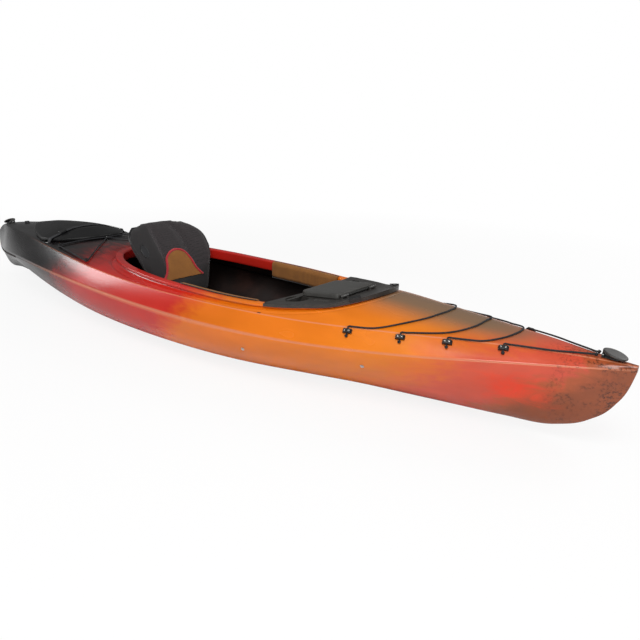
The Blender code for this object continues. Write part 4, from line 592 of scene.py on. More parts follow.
@dataclass(frozen=True)
class Webbing(Finish):
    """Flat polypropylene webbing: diagonal ribs 3 mm apart on a 25 mm tape."""

    def paint(self, tree: bpy.types.NodeTree, shader: bpy.types.Node, place: bpy.types.Node) -> None:
        """Draw the ribs on the tape's own map, across it and metres along it.

        Args:
            tree: The material's tree.
            shader: Its Principled shader.
            place: Its texture coordinates.
        """
        ribs = add_node(tree, "ShaderNodeTexWave", {"wave_type": 'BANDS', "bands_direction": 'DIAGONAL'},
                        {"Vector": place.outputs["UV"], "Scale": 150.0, "Distortion": 0.6})
        tint = mixed_colour(tree, ribs.outputs[1], linear("#121214"), linear("#37373b"))
        tree.links.new(tint, shader.inputs["Base Color"])
        shader.inputs["Roughness"].default_value = 0.75
        self.bump(tree, shader, ribs.outputs[1], 0.5, 0.0005)


SHELL = MarbledPolyethylene("rotomoulded marbled polyethylene", "shell_plastic")
SHELL_INSIDE = MouldInside("inner skin of rotomoulded polyethylene", "shell_plastic")
BLACK = GrainedPlastic("moulded black nylon", "black_plastic")
HATCH_BLACK = GrainedPlastic("black moulded polyethylene", "black_plastic", "#0b0b0c", "#151516", 0.42,
                             700.0)
GREY = GrainedPlastic("moulded grey ABS", "grey_plastic", "#2a2826", "#3b3835", 0.40, 900.0)
DARK_GREY = GrainedPlastic("moulded dark grey ABS lid", "grey_plastic", "#3a3937", "#4b4a47", 0.36, 900.0)
STEEL = BrushedSteel("turned stainless steel", "stainless_steel")
DARK_STEEL = BrushedSteel("blackened stainless steel", "stainless_steel", "#2a2a29")
CORD = BraidedSheath("braided shock cord", "shock_cord")
MESH = SpacerMesh("knitted spacer mesh on foam", "black_fabric")
FABRIC = WovenFabric("woven black polyester", "black_fabric")
TAN = WovenFabric("woven tan polyester", "tan_fabric", "#74481a", "#a66c2a", 0.0018, 0.05)
PIPING = WovenFabric("black bias binding", "black_fabric", "#1a1819", "#2f2b2c", 0.0016, 0.2)
RED_PIPING = WovenFabric("red bias binding", "tan_fabric", "#9c1d24", "#c02a31", 0.0016, 0.2)
THREAD = WovenFabric("bonded sewing thread", "black_fabric", "#6b6466", "#8b8486", 0.001, 0.1)
RUBBER = SoftRubber("moulded rubber", "rubber")
FOAM = SoftRubber("closed-cell foam", "foam", "#2a2a2c", 420.0)
TAPE = Webbing("polypropylene webbing", "webbing")


# Shared mesh tools

def fair(points: Table) -> Callable[[float], float]:
    """Draw a smooth curve through (place, value) points, level outside them.

    Args:
        points: The curve's points in order of place.

    Returns:
        A function from place to value.
    """
    places = np.array([p[0] for p in points], float)
    values = np.array([p[1] for p in points], float)
    steps = np.diff(places)
    slopes = np.diff(values) / steps
    tangents = np.empty(len(places))
    tangents[0], tangents[-1] = slopes[0], slopes[-1]
    tangents[1:-1] = (steps[1:] * slopes[:-1] + steps[:-1] * slopes[1:]) / (steps[1:] + steps[:-1])

    def value(place: float) -> float:
        """Give the curve's value at a place.

        Args:
            place: The place.

        Returns:
            The value.
        """
        clipped = min(max(float(place), places[0]), places[-1])
        i = min(max(int(np.searchsorted(places, clipped)) - 1, 0), len(steps) - 1)
        t = (clipped - places[i]) / steps[i]
        start = (1 + 2 * t) * (1 - t) ** 2 * values[i] + t * (1 - t) ** 2 * steps[i] * tangents[i]
        end = t * t * (3 - 2 * t) * values[i + 1] + t * t * (t - 1) * steps[i] * tangents[i + 1]
        return float(start + end)

    return value


def smooth_step(t: float) -> float:
    """Ease from 0 to 1 as t does."""
    t = min(max(t, 0.0), 1.0)
    return t * t * (3 - 2 * t)


def oval(middle: float, front: float, rear: float, half_width: float, powers: tuple[float, float],
         count: int) -> list[Vector]:
    """Draw a boat-shaped oval, anticlockwise from its front end.

    Args:
        middle: Place along the boat of its widest line.
        front: Its front end.
        rear: Its rear end.
        half_width: Half its width.
        powers: How square its front and rear halves are.
        count: Number of points.

    Returns:
        The points in plan.
    """
    points = []
    for i in range(count):
        angle = 2 * math.pi * i / count
        c, s = math.cos(angle), math.sin(angle)
        reach, power = (front - middle, powers[0]) if c >= 0 else (middle - rear, powers[1])
        points.append(Vector((middle + reach * math.copysign(abs(c) ** (2 / power), c),
                              half_width * math.copysign(abs(s) ** (2 / power), s))))
    return points


def outward(points: Sequence[Vector]) -> list[Vector]:
    """Give the unit normals of a closed anticlockwise outline."""
    runs = [points[(i + 1) % len(points)] - points[i - 1] for i in range(len(points))]
    return [Vector((run.y, -run.x)).normalized() for run in runs]


def grown(points: Sequence[Vector], distance: float) -> list[Vector]:
    """Move a closed anticlockwise outline outwards."""
    return [p + n * distance for p, n in zip(points, outward(points))]


def new_piece(name: str, verts: Sequence, faces: Sequence) -> bpy.types.Object:
    """Make an object of a smooth mesh in the scene.

    Args:
        name: The piece's name.
        verts: Its points.
        faces: Its faces by point index.

    Returns:
        The object.
    """
    data = bpy.data.meshes.new(name)
    data.from_pydata([tuple(v) for v in verts], [], [tuple(f) for f in faces])
    data.validate()
    data.shade_smooth()
    made = bpy.data.objects.new(name, data)
    bpy.context.scene.collection.objects.link(made)
    return made


def loft(rings: Sequence[Sequence], around: bool = False, caps: bool = True,
         open_rings: bool = False) -> tuple[list, list]:
    """Join rings of equal count into a skin.

    Args:
        rings: The rings in order.
        around: Whether the last ring joins the first.
        caps: Whether the two end rings are closed with a face.
        open_rings: Whether each ring is an open line.

    Returns:
        Points and faces.
    """
    count = len(rings[0])
    verts = [tuple(p) for ring in rings for p in ring]
    faces = []
    spans = len(rings) if around else len(rings) - 1
    for i in range(spans):
        a, b = i * count, ((i + 1) % len(rings)) * count
        for k in range(count - 1 if open_rings else count):
            n = (k + 1) % count
            faces.append((a + k, a + n, b + n, b + k))
    if caps and not around:
        faces.append(tuple(reversed(range(count))))
        faces.append(tuple(range(len(verts) - count, len(verts))))
    return verts, faces


def face_outwards(piece: bpy.types.Object, merge: float = 1e-5) -> None:
    """Merge a mesh's doubles, then turn its faces outwards.

    Args:
        piece: The piece.
        merge: Distance within which points become one.
    """
    mesh = bmesh.new()
    mesh.from_mesh(piece.data)
    bmesh.ops.remove_doubles(mesh, verts=mesh.verts, dist=merge)
    bmesh.ops.recalc_face_normals(mesh, faces=mesh.faces)
    top = max(mesh.faces, key=lambda f: f.calc_center_median().z)
    if top.normal.z < 0:
        bmesh.ops.reverse_faces(mesh, faces=mesh.faces)
    mesh.to_mesh(piece.data)
    mesh.free()
    piece.data.shade_smooth()


def bake(piece: bpy.types.Object) -> bpy.types.Object:
    """Turn a piece's modifiers into its plain mesh.

    Args:
        piece: The piece, whose modifiers go.

    Returns:
        The same piece.
    """
    graph = bpy.context.evaluated_depsgraph_get()
    made = bpy.data.meshes.new_from_object(piece.evaluated_get(graph), depsgraph=graph)
    piece.modifiers.clear()
    old, piece.data = piece.data, made
    bpy.data.meshes.remove(old)
    return piece


def body_of(node: str) -> str:
    """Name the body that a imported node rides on."""
    return next(name for name, body in frame["bodies"].items() if frame["nodes"][node].parent == body)


def place_piece(piece: bpy.types.Object, finish: Finish, body: str, *nodes: str,
                inner: Finish | None = None) -> bpy.types.Object:
    """Dress a finished piece and hang it on its body.

    Args:
        piece: The piece.
        finish: Its finish.
        body: Name of the body.
        nodes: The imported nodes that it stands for.
        inner: Finish of the faces of its second material slot, if it has two.

    Returns:
        The piece.
    """
    slots = np.zeros(len(piece.data.polygons), np.int32)
    piece.data.polygons.foreach_get("material_index", slots)
    piece.data.materials.clear()
    piece.data.materials.append(finish.material())
    if inner:
        piece.data.materials.append(inner.material())
        piece.data.polygons.foreach_set("material_index", slots)
    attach(piece, body)
    if nodes:
        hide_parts(*nodes)
    LOG.info("%s: %d faces on %s", piece.name, len(piece.data.polygons), body)
    return piece


def node_copy(node: str, name: str) -> bpy.types.Object:
    """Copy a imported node's loose triangles into one merged mesh.

    Args:
        node: The node.
        name: Name of the copy.

    Returns:
        The copy, in the scene.
    """
    mesh = bmesh.new()
    mesh.from_mesh(frame["nodes"][node].data)
    bmesh.ops.remove_doubles(mesh, verts=mesh.verts, dist=3e-6)
    data = bpy.data.meshes.new(name)
    mesh.to_mesh(data)
    mesh.free()
    data.materials.clear()
    made = bpy.data.objects.new(name, data)
    bpy.context.scene.collection.objects.link(made)
    return made


def eased(node: str, finish: Finish, radius: float = 0.0008, angle: float = 32.0,
          segments: int = 2) -> bpy.types.Object:
    """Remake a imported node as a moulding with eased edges, and stand it in the node's place.

    Args:
        node: The node.
        finish: Its finish.
        radius: Width of the easing.
        angle: Edges sharper than this many degrees are eased.
        segments: Faces across the easing.

    Returns:
        The moulding.
    """
    made = node_copy(node, f"{node}_moulding")
    mesh = bmesh.new()
    mesh.from_mesh(made.data)
    bmesh.ops.dissolve_limit(mesh, angle_limit=math.radians(1.2), verts=mesh.verts, edges=mesh.edges)
    mesh.to_mesh(made.data)
    mesh.free()
    made.data.shade_smooth()
    ease = made.modifiers.new("ease", 'BEVEL')
    ease.width, ease.segments = radius, segments
    ease.limit_method, ease.angle_limit = 'ANGLE', math.radians(angle)
    ease.miter_outer = 'MITER_ARC'
    even = made.modifiers.new("even", 'WEIGHTED_NORMAL')
    even.weight, even.keep_sharp = 90, True
    bake(made)
    return place_piece(made, finish, body_of(node), node)


def swept(name: str, points: Sequence[Vector], radius: float | Sequence[float], sides: int = 12,
          closed: bool = False) -> bpy.types.Object:
    """Sweep a round section along a line, with a map of turns round it and metres along it.

    Args:
        name: The piece's name.
        points: The line's points.
        radius: Radius of the section, one for all points or one each.
        sides: Sides of the section.
        closed: Whether the line closes on itself.

    Returns:
        The tube.
    """
    line = [Vector(p) for p in points]
    count = len(line)
    radii = [radius] * count if isinstance(radius, (int, float)) else list(radius)
    runs = [(line[(i + 1) % count] - line[i - 1]) if closed else
            (line[min(i + 1, count - 1)] - line[max(i - 1, 0)]) for i in range(count)]
    runs = [run.normalized() for run in runs]
    side = runs[0].cross(Vector((0.13, 0.21, 1.0))).normalized()
    rings, lengths, length = [], [], 0.0
    for i, (place, run) in enumerate(zip(line, runs)):
        side = (side - run * side.dot(run)).normalized()
        other = run.cross(side)
        rings.append([place + radii[i] * (side * math.cos(a) + other * math.sin(a))
                      for a in (2 * math.pi * k / sides for k in range(sides))])
        length += (place - line[i - 1]).length if i else 0.0
        lengths.append(length)
    if closed:
        rings.append(rings[0])
        lengths.append(length + (line[0] - line[-1]).length)
    verts, faces = loft(rings, caps=not closed)
    made = new_piece(name, verts, faces)
    layer = made.data.uv_layers.new(name="length")
    for face in made.data.polygons:
        wraps = len(face.vertices) == 4 and max(v % sides for v in face.vertices) == sides - 1 \
            and min(v % sides for v in face.vertices) == 0
        for corner in face.loop_indices:
            vert = made.data.loops[corner].vertex_index
            turn = vert % sides
            turn = sides if wraps and turn == 0 else turn
            layer.data[corner].uv = (turn / sides, lengths[vert // sides])
    if closed:
        face_outwards(made)
    else:
        mesh = bmesh.new()
        mesh.from_mesh(made.data)
        bmesh.ops.recalc_face_normals(mesh, faces=mesh.faces)
        mesh.to_mesh(made.data)
        mesh.free()
    return made


def even_line(points: Sequence[Vector], spacing: float, closed: bool = False) -> list[Vector]:
    """Give points at an even spacing on a smooth curve through a line's own points.

    Args:
        points: The line's points.
        spacing: Distance between the points given.
        closed: Whether the line closes on itself.

    Returns:
        The even points.
    """
    line = [Vector(p) for p in points]
    if closed:
        ends = [line[-1]] + line + [line[0], line[1]]
    else:
        ends = [2 * line[0] - line[1]] + line + [2 * line[-1] - line[-2]]
    dense = []
    for before, start, end, after in zip(ends, ends[1:], ends[2:], ends[3:]):
        for step in range(12):
            t = step / 12
            dense.append(0.5 * (2 * start + (end - before) * t
                                + (2 * before - 5 * start + 4 * end - after) * t ** 2
                                + (3 * start - before - 3 * end + after) * t ** 3))
    dense.append(line[0] if closed else line[-1])
    lengths = np.concatenate([[0.0], np.cumsum([(b - a).length for a, b in zip(dense, dense[1:])])])
    count = max(round(float(lengths[-1]) / spacing), 2)
    even = []
    for i in range(count if closed else count + 1):
        goal = float(lengths[-1]) * i / count
        j = min(max(int(np.searchsorted(lengths, goal)), 1), len(dense) - 1)
        share = (goal - lengths[j - 1]) / max(lengths[j] - lengths[j - 1], 1e-9)
        even.append(dense[j - 1].lerp(dense[j], float(share)))
    return even


# Repeated fittings, set out by Geometry Nodes

def open_tree(name: str, inputs: Sequence[tuple[str, str]]) -> tuple[bpy.types.NodeTree, bpy.types.Node]:
    """Start a geometry tree with named inputs.

    Args:
        name: The tree's name.
        inputs: Name and socket type of each input after the geometry.

    Returns:
        The tree and its input node.
    """
    tree = bpy.data.node_groups.new(name, 'GeometryNodeTree')
    tree.interface.new_socket("Geometry", in_out='INPUT', socket_type='NodeSocketGeometry')
    for label, kind in inputs:
        tree.interface.new_socket(label, in_out='INPUT', socket_type=kind)
    tree.interface.new_socket("Geometry", in_out='OUTPUT', socket_type='NodeSocketGeometry')
    return tree, add_node(tree, "NodeGroupInput")


def close_tree(tree: bpy.types.NodeTree, instances: bpy.types.NodeSocket,
               finish: bpy.types.NodeSocket) -> None:
    """End a tree in Realize Instances and Set Material.

    Args:
        tree: The tree.
        instances: The instances to make real.
        finish: Socket that gives the material.
    """
    real = add_node(tree, "GeometryNodeRealizeInstances", None, {0: instances})
    dressed = add_node(tree, "GeometryNodeSetMaterial", None, {"Geometry": real.outputs[0],
                                                               "Material": finish})
    add_node(tree, "NodeGroupOutput", None, {0: dressed.outputs[0]})


def fittings_tree() -> bpy.types.NodeTree:
    """Make the tree that sets one fitting on each point, turned by the point's own angles.

    Returns:
        The tree, with inputs Fitting, Size and Finish.
    """
    tree, given = open_tree("set fittings", (("Fitting", 'NodeSocketObject'), ("Size", 'NodeSocketFloat'),
                                             ("Finish", 'NodeSocketMaterial')))
    part = add_node(tree, "GeometryNodeObjectInfo", None, {"Object": given.outputs["Fitting"]})
    turn = add_node(tree, "GeometryNodeInputNamedAttribute", {"data_type": 'FLOAT_VECTOR'},
                    {"Name": "turn"})
    turned = add_node(tree, "FunctionNodeEulerToRotation", None, {0: turn.outputs[0]})
    made = add_node(tree, "GeometryNodeInstanceOnPoints", None,
                    {"Points": given.outputs[0], "Instance": part.outputs["Geometry"],
                     "Rotation": turned.outputs[0], "Scale": given.outputs["Size"]})
    close_tree(tree, made.outputs[0], given.outputs["Finish"])
    return tree


def stitches_tree() -> bpy.types.NodeTree:
    """Make the tree that lays stitches end to end along a line.

    Returns:
        The tree, with inputs Stitch, Pitch and Finish.
    """
    tree, given = open_tree("sew along", (("Stitch", 'NodeSocketObject'), ("Pitch", 'NodeSocketFloat'),
                                          ("Finish", 'NodeSocketMaterial')))
    part = add_node(tree, "GeometryNodeObjectInfo", None, {"Object": given.outputs["Stitch"]})
    line = add_node(tree, "GeometryNodeMeshToCurve", None, {0: given.outputs[0]})
    spots = add_node(tree, "GeometryNodeResampleCurve", {"mode": 'LENGTH'},
                     {"Curve": line.outputs[0], "Length": given.outputs["Pitch"]})
    along = add_node(tree, "GeometryNodeInputTangent")
    turned = add_node(tree, "FunctionNodeAlignRotationToVector", {"axis": 'X'},
                      {"Vector": along.outputs[0]})
    made = add_node(tree, "GeometryNodeInstanceOnPoints", None,
                    {"Points": spots.outputs[0], "Instance": part.outputs["Geometry"],
                     "Rotation": turned.outputs[0]})
    close_tree(tree, made.outputs[0], given.outputs["Finish"])
    return tree


def run_tree(piece: bpy.types.Object, tree: bpy.types.NodeTree, values: dict) -> bpy.types.Object:
    """Run a tree on a piece and keep its result as the piece's plain mesh.

    Args:
        piece: The piece.
        tree: The tree.
        values: Values by input name.

    Returns:
        The piece.
    """
    run = piece.modifiers.new("nodes", 'NODES')
    run.node_group = tree
    sockets = {item.name: item.identifier for item in tree.interface.items_tree
               if item.item_type == 'SOCKET' and item.in_out == 'INPUT'}
    for label, value in values.items():
        run[sockets[label]] = value
    return bake(piece)


class Repeats:
    """Sets out fittings and stitches with the two trees, which are made once."""

    def __init__(self) -> None:
        """Make the trees."""
        self.fittings = fittings_tree()
        self.stitches = stitches_tree()

    def set_out(self, name: str, places: Sequence[Matrix], fitting: tuple[list, list], finish: Finish,
                body: str) -> bpy.types.Object:
        """Set a small fitting at each place.

        Args:
            name: The piece's name.
            places: Where each goes, with its z axis away from the surface.
            fitting: Points and faces of one.
            finish: The finish.
            body: Body that they ride on.

        Returns:
            The piece that holds them all.
        """
        pattern = new_piece(f"{name}_pattern", *fitting)
        made = new_piece(name, [place.translation for place in places], [])
        turn = made.data.attributes.new("turn", 'FLOAT_VECTOR', 'POINT')
        for item, place in zip(turn.data, places):
            item.vector = place.to_euler()
        run_tree(made, self.fittings, {"Fitting": pattern, "Size": 1.0, "Finish": finish.material()})
        bpy.data.objects.remove(pattern)
        return place_piece(made, finish, body)

    def sew(self, name: str, lines: Sequence[Sequence[Vector]], pitch: float, finish: Finish,
            body: str) -> bpy.types.Object:
        """Sew stitches along lines.

        Args:
            name: The piece's name.
            lines: The lines' points.
            pitch: Distance from stitch to stitch.
            finish: The thread.
            body: Body that they ride on.

        Returns:
            The piece that holds the stitches.
        """
        half, thick = 0.36 * pitch, 0.00035
        rings = [[(x, r * thick * math.cos(a), r * thick * math.sin(a) * 0.7)
                  for a in (math.pi * k / 3 for k in range(6))]
                 for x, r in ((-half, 0.3), (-0.7 * half, 1.0), (0.7 * half, 1.0), (half, 0.3))]
        stitch = new_piece(f"{name}_pattern", *loft(rings))
        verts, edges = [], []
        for line in lines:
            edges += [(len(verts) + i, len(verts) + i + 1) for i in range(len(line) - 1)]
            verts += [tuple(p) for p in line]
        data = bpy.data.meshes.new(name)
        data.from_pydata(verts, edges, [])
        made = bpy.data.objects.new(name, data)
        bpy.context.scene.collection.objects.link(made)
        run_tree(made, self.stitches, {"Stitch": stitch, "Pitch": pitch, "Finish": finish.material()})
        bpy.data.objects.remove(stitch)
        return place_piece(made, finish, body)


def frame_at(origin: Vector, x_axis: Vector, z_axis: Vector) -> Matrix:
    """Give a placing matrix with its z on z_axis and its x as near x_axis as that allows.

    Args:
        origin: Where it places things.
        x_axis: Direction that its x comes near to.
        z_axis: Direction of its z.

    Returns:
        The matrix.
    """
    z = Vector(z_axis).normalized()
    y = z.cross(Vector(x_axis)).normalized()
    place = Matrix((y.cross(z), y, z)).transposed().to_4x4()
    place.translation = origin
    return place


def screw_head(radius: float, rise: float) -> tuple[list, list]:
    """Make a domed screw head with a hexagonal socket, its foot sunk a little.

    Args:
        radius: Radius of the head.
        rise: Its height.

    Returns:
        Points and faces.
    """
    sides = 18
    profile = [(0.9 * radius, -0.4 * rise), (radius, 0.0), (radius, 0.35 * rise),
               (0.88 * radius, 0.75 * rise), (0.62 * radius, 0.98 * rise), (0.46 * radius, rise),
               (0.42 * radius, 0.96 * rise)]
    rings = [[(r * math.cos(a), r * math.sin(a), z) for a in (2 * math.pi * k / sides for k in range(sides))]
             for r, z in profile]
    for z in (0.95 * rise, 0.35 * rise):
        rings.append([(0.40 * radius * math.cos(a) / max(math.cos((a % 1.0472) - 0.5236), 0.5) * 0.87,
                       0.40 * radius * math.sin(a) / max(math.cos((a % 1.0472) - 0.5236), 0.5) * 0.87, z)
                      for a in (2 * math.pi * k / sides for k in range(sides))])
    return loft(rings)


# The shell

@dataclass
class BoatLines:
    """The boat's lines, as (station, value) points from station -1 at the stern to 1 at the bow.

    Attributes:
        length: Length of the boat.
        beam: Its greatest width.
        keel_flat: Half the width of the keel's flat.
        chine_plan: Half-breadth of the chine, as a share of half the beam.
        chine_height: Height of the chine.
        crease_inset: How far in from the chine the deck's crease lies.
        crease_height: Height of that crease.
        deck_crown: Rise of the deck's middle over its crease.
        keel_height: Height of the keel.
        fullness: How square the hull's section is.
        lip_height_line: Height of the coaming's lip by place along the boat, in metres.
        lip_middle: Place of the lip's widest line.
        lip_front: Its front end.
        lip_rear: Its rear end.
        lip_half_width: Half its width.
        lip_width: Width of the lip itself.
        dish: Depth, rear end, half width and forward fade of the hollow round the cockpit's rear half.
        curves: Each line's fair curve, by name.
    """

    length: float = 3.81
    beam: float = 0.787
    keel_flat: float = 0.030
    chine_plan: Table = (
        (-1, .02), (-.93, .17), (-.84, .356), (-.63, .653), (-.42, .862), (-.21, .975), (0, 1.0),
        (.21, .968), (.42, .849), (.63, .633), (.84, .333), (.95, .125), (1, .02))
    chine_height: Table = (
        (-1, .150), (-.84, .180), (-.63, .211), (-.42, .224), (-.21, .223), (0, .213), (.21, .209),
        (.42, .215), (.63, .239), (.84, .275), (1, .296))
    crease_inset: Table = (
        (-1, .0), (-.93, .030), (-.84, .036), (-.63, .052), (-.42, .057), (-.21, .048), (0, .039),
        (.21, .038), (.42, .042), (.63, .050), (.84, .048), (.95, .026), (1, .0))
    crease_height: Table = (
        (-1, .252), (-.965, .290), (-.92, .316), (-.84, .332), (-.63, .338), (-.42, .324), (-.21, .303),
        (0, .288), (.21, .286), (.42, .289), (.63, .303), (.84, .315), (1, .309))
    deck_crown: Table = (
        (-1, .0), (-.84, .004), (-.63, .012), (-.42, .026), (-.31, .028), (-.21, .022), (0, .040),
        (.21, .056), (.42, .082), (.53, .080), (.63, .060), (.84, .014), (1, .0))
    keel_height: Table = (
        (-1, .145), (-.985, .120), (-.955, .080), (-.84, .063), (-.70, .036), (-.50, .0065), (-.42, .0012),
        (-.33, .0), (.0, .0), (.33, .0), (.42, .0015), (.55, .008), (.70, .024), (.80, .038), (.887, .058),
        (.94, .10), (.975, .165), (.993, .235), (1, .288))
    fullness: Table = (
        (-1, 1.1), (-.955, .8), (-.84, .95), (-.63, 1.34), (-.42, 1.80), (-.21, 2.35), (0, 2.55),
        (.21, 2.35), (.42, 1.70), (.52, 1.45), (.63, 1.38), (.84, 1.28), (1, 1.3))
    lip_height_line: Table = (
        (-.475, .352), (-.30, .336), (0, .322), (.30, .3165), (.50, .3145), (.62, .3160), (.70, .3205),
        (.80, .3305), (.90, .3432), (.946, .3564), (.983, .3685), (1.009, .3780), (1.04, .3905))
    lip_middle: float = 0.30
    lip_front: float = 1.03
    lip_rear: float = -0.475
    lip_half_width: float = 0.325
    lip_width: float = 0.036
    dish: tuple[float, float, float, float] = (0.012, -0.56, 0.35, 0.30)
    curves: dict[str, Callable[[float], float]] = field(default_factory=dict)

    def __post_init__(self) -> None:
        """Fair every line once."""
        for name in ("chine_plan", "chine_height", "crease_inset", "crease_height", "deck_crown",
                     "keel_height", "fullness", "lip_height_line"):
            self.curves[name] = fair(getattr(self, name))

    def at(self, name: str, x: float) -> float:
        """Give a line's value at a place along the boat."""
        return self.curves[name](x / (self.length / 2))

    def lip_height(self, x: float) -> float:
        """Give the height of the coaming's lip."""
        return self.curves["lip_height_line"](x)

    def chine(self, x: float) -> tuple[float, float]:
        """Give half-breadth and height of the widest line."""
        return max(self.at("chine_plan", x), 0.015) * self.beam / 2, self.at("chine_height", x)

    def crease(self, x: float) -> tuple[float, float]:
        """Give half-breadth and height of the deck panel's edge."""
        return max(self.chine(x)[0] - self.at("crease_inset", x), 0.004), self.at("crease_height", x)

    def deck_height(self, x: float, y: float) -> float:
        """Give the height of the deck's outer face.

        Args:
            x: Place along the boat.
            y: Place across it.

        Returns:
            The height, level outside the crease.
        """
        half_breadth, edge_height = self.crease(x)
        across = min(abs(y) / half_breadth, 1.0)
        height = edge_height + self.at("deck_crown", x) * (1 - across ** 2)
        depth, rear, half_width, fade = self.dish
        along = (self.lip_middle - x) / (self.lip_middle - rear)
        if along > 0:
            inside = 1 - along ** 2.6 - (abs(y) / half_width) ** 2.6
            height -= depth * smooth_step(inside / 0.22) * smooth_step(along / fade - 0.6)
        return height

    def deck_normal(self, x: float, y: float) -> Vector:
        """Give the deck's upward unit normal."""
        h = 0.004
        return Vector((self.deck_height(x - h, y) - self.deck_height(x + h, y),
                       self.deck_height(x, y - h) - self.deck_height(x, y + h), 2 * h)).normalized()

    def lip(self, distance: float, count: int) -> list[Vector]:
        """Give the lip's outer edge, moved outwards."""
        return grown(oval(self.lip_middle, self.lip_front, self.lip_rear, self.lip_half_width, (2.0, 2.8),
                          count), distance)

    def hull_section(self, x: float, angle: float) -> tuple[float, float]:
        """Give a point of the hull's section.

        Args:
            x: Place along the boat.
            angle: 0 at the edge of the keel flat, 90 degrees at the chine.

        Returns:
            Its place across and its height.
        """
        half_breadth, top = self.chine(x)
        flat = min(self.keel_flat, half_breadth * 0.3)
        keel = min(max(self.at("keel_height", x), 0.0), top - 0.004)
        power = 2 / self.at("fullness", x)
        return (flat + (half_breadth - flat) * math.sin(angle) ** power,
                keel + (top - keel) * (1 - max(math.cos(angle), 0.0) ** power))

    def band(self, x: float, side: int) -> tuple[Vector, Vector, Vector, Vector]:
        """Give the crease point, the way down the band below it, its outward normal and the crease's run.

        Args:
            x: Place along the boat.
            side: 1 to port, -1 to starboard.

        Returns:
            The four vectors.
        """
        edge, height = self.crease(x)
        wide, seam = self.chine(x)
        down = Vector((0, side * ((wide + edge) / 2 + 0.002 - edge), (seam + height) / 2 - height))
        down.normalize()
        fore, aft = self.crease(x + 0.02), self.crease(x - 0.02)
        along = Vector((0.04, side * (fore[0] - aft[0]), fore[1] - aft[1])).normalized()
        normal = along.cross(down).normalized() * side
        normal = normal if normal.z > 0 else -normal
        down = (down - along * down.dot(along)).normalized()
        return Vector((x, side * edge, height)), down, normal, along


LINES = BoatLines()


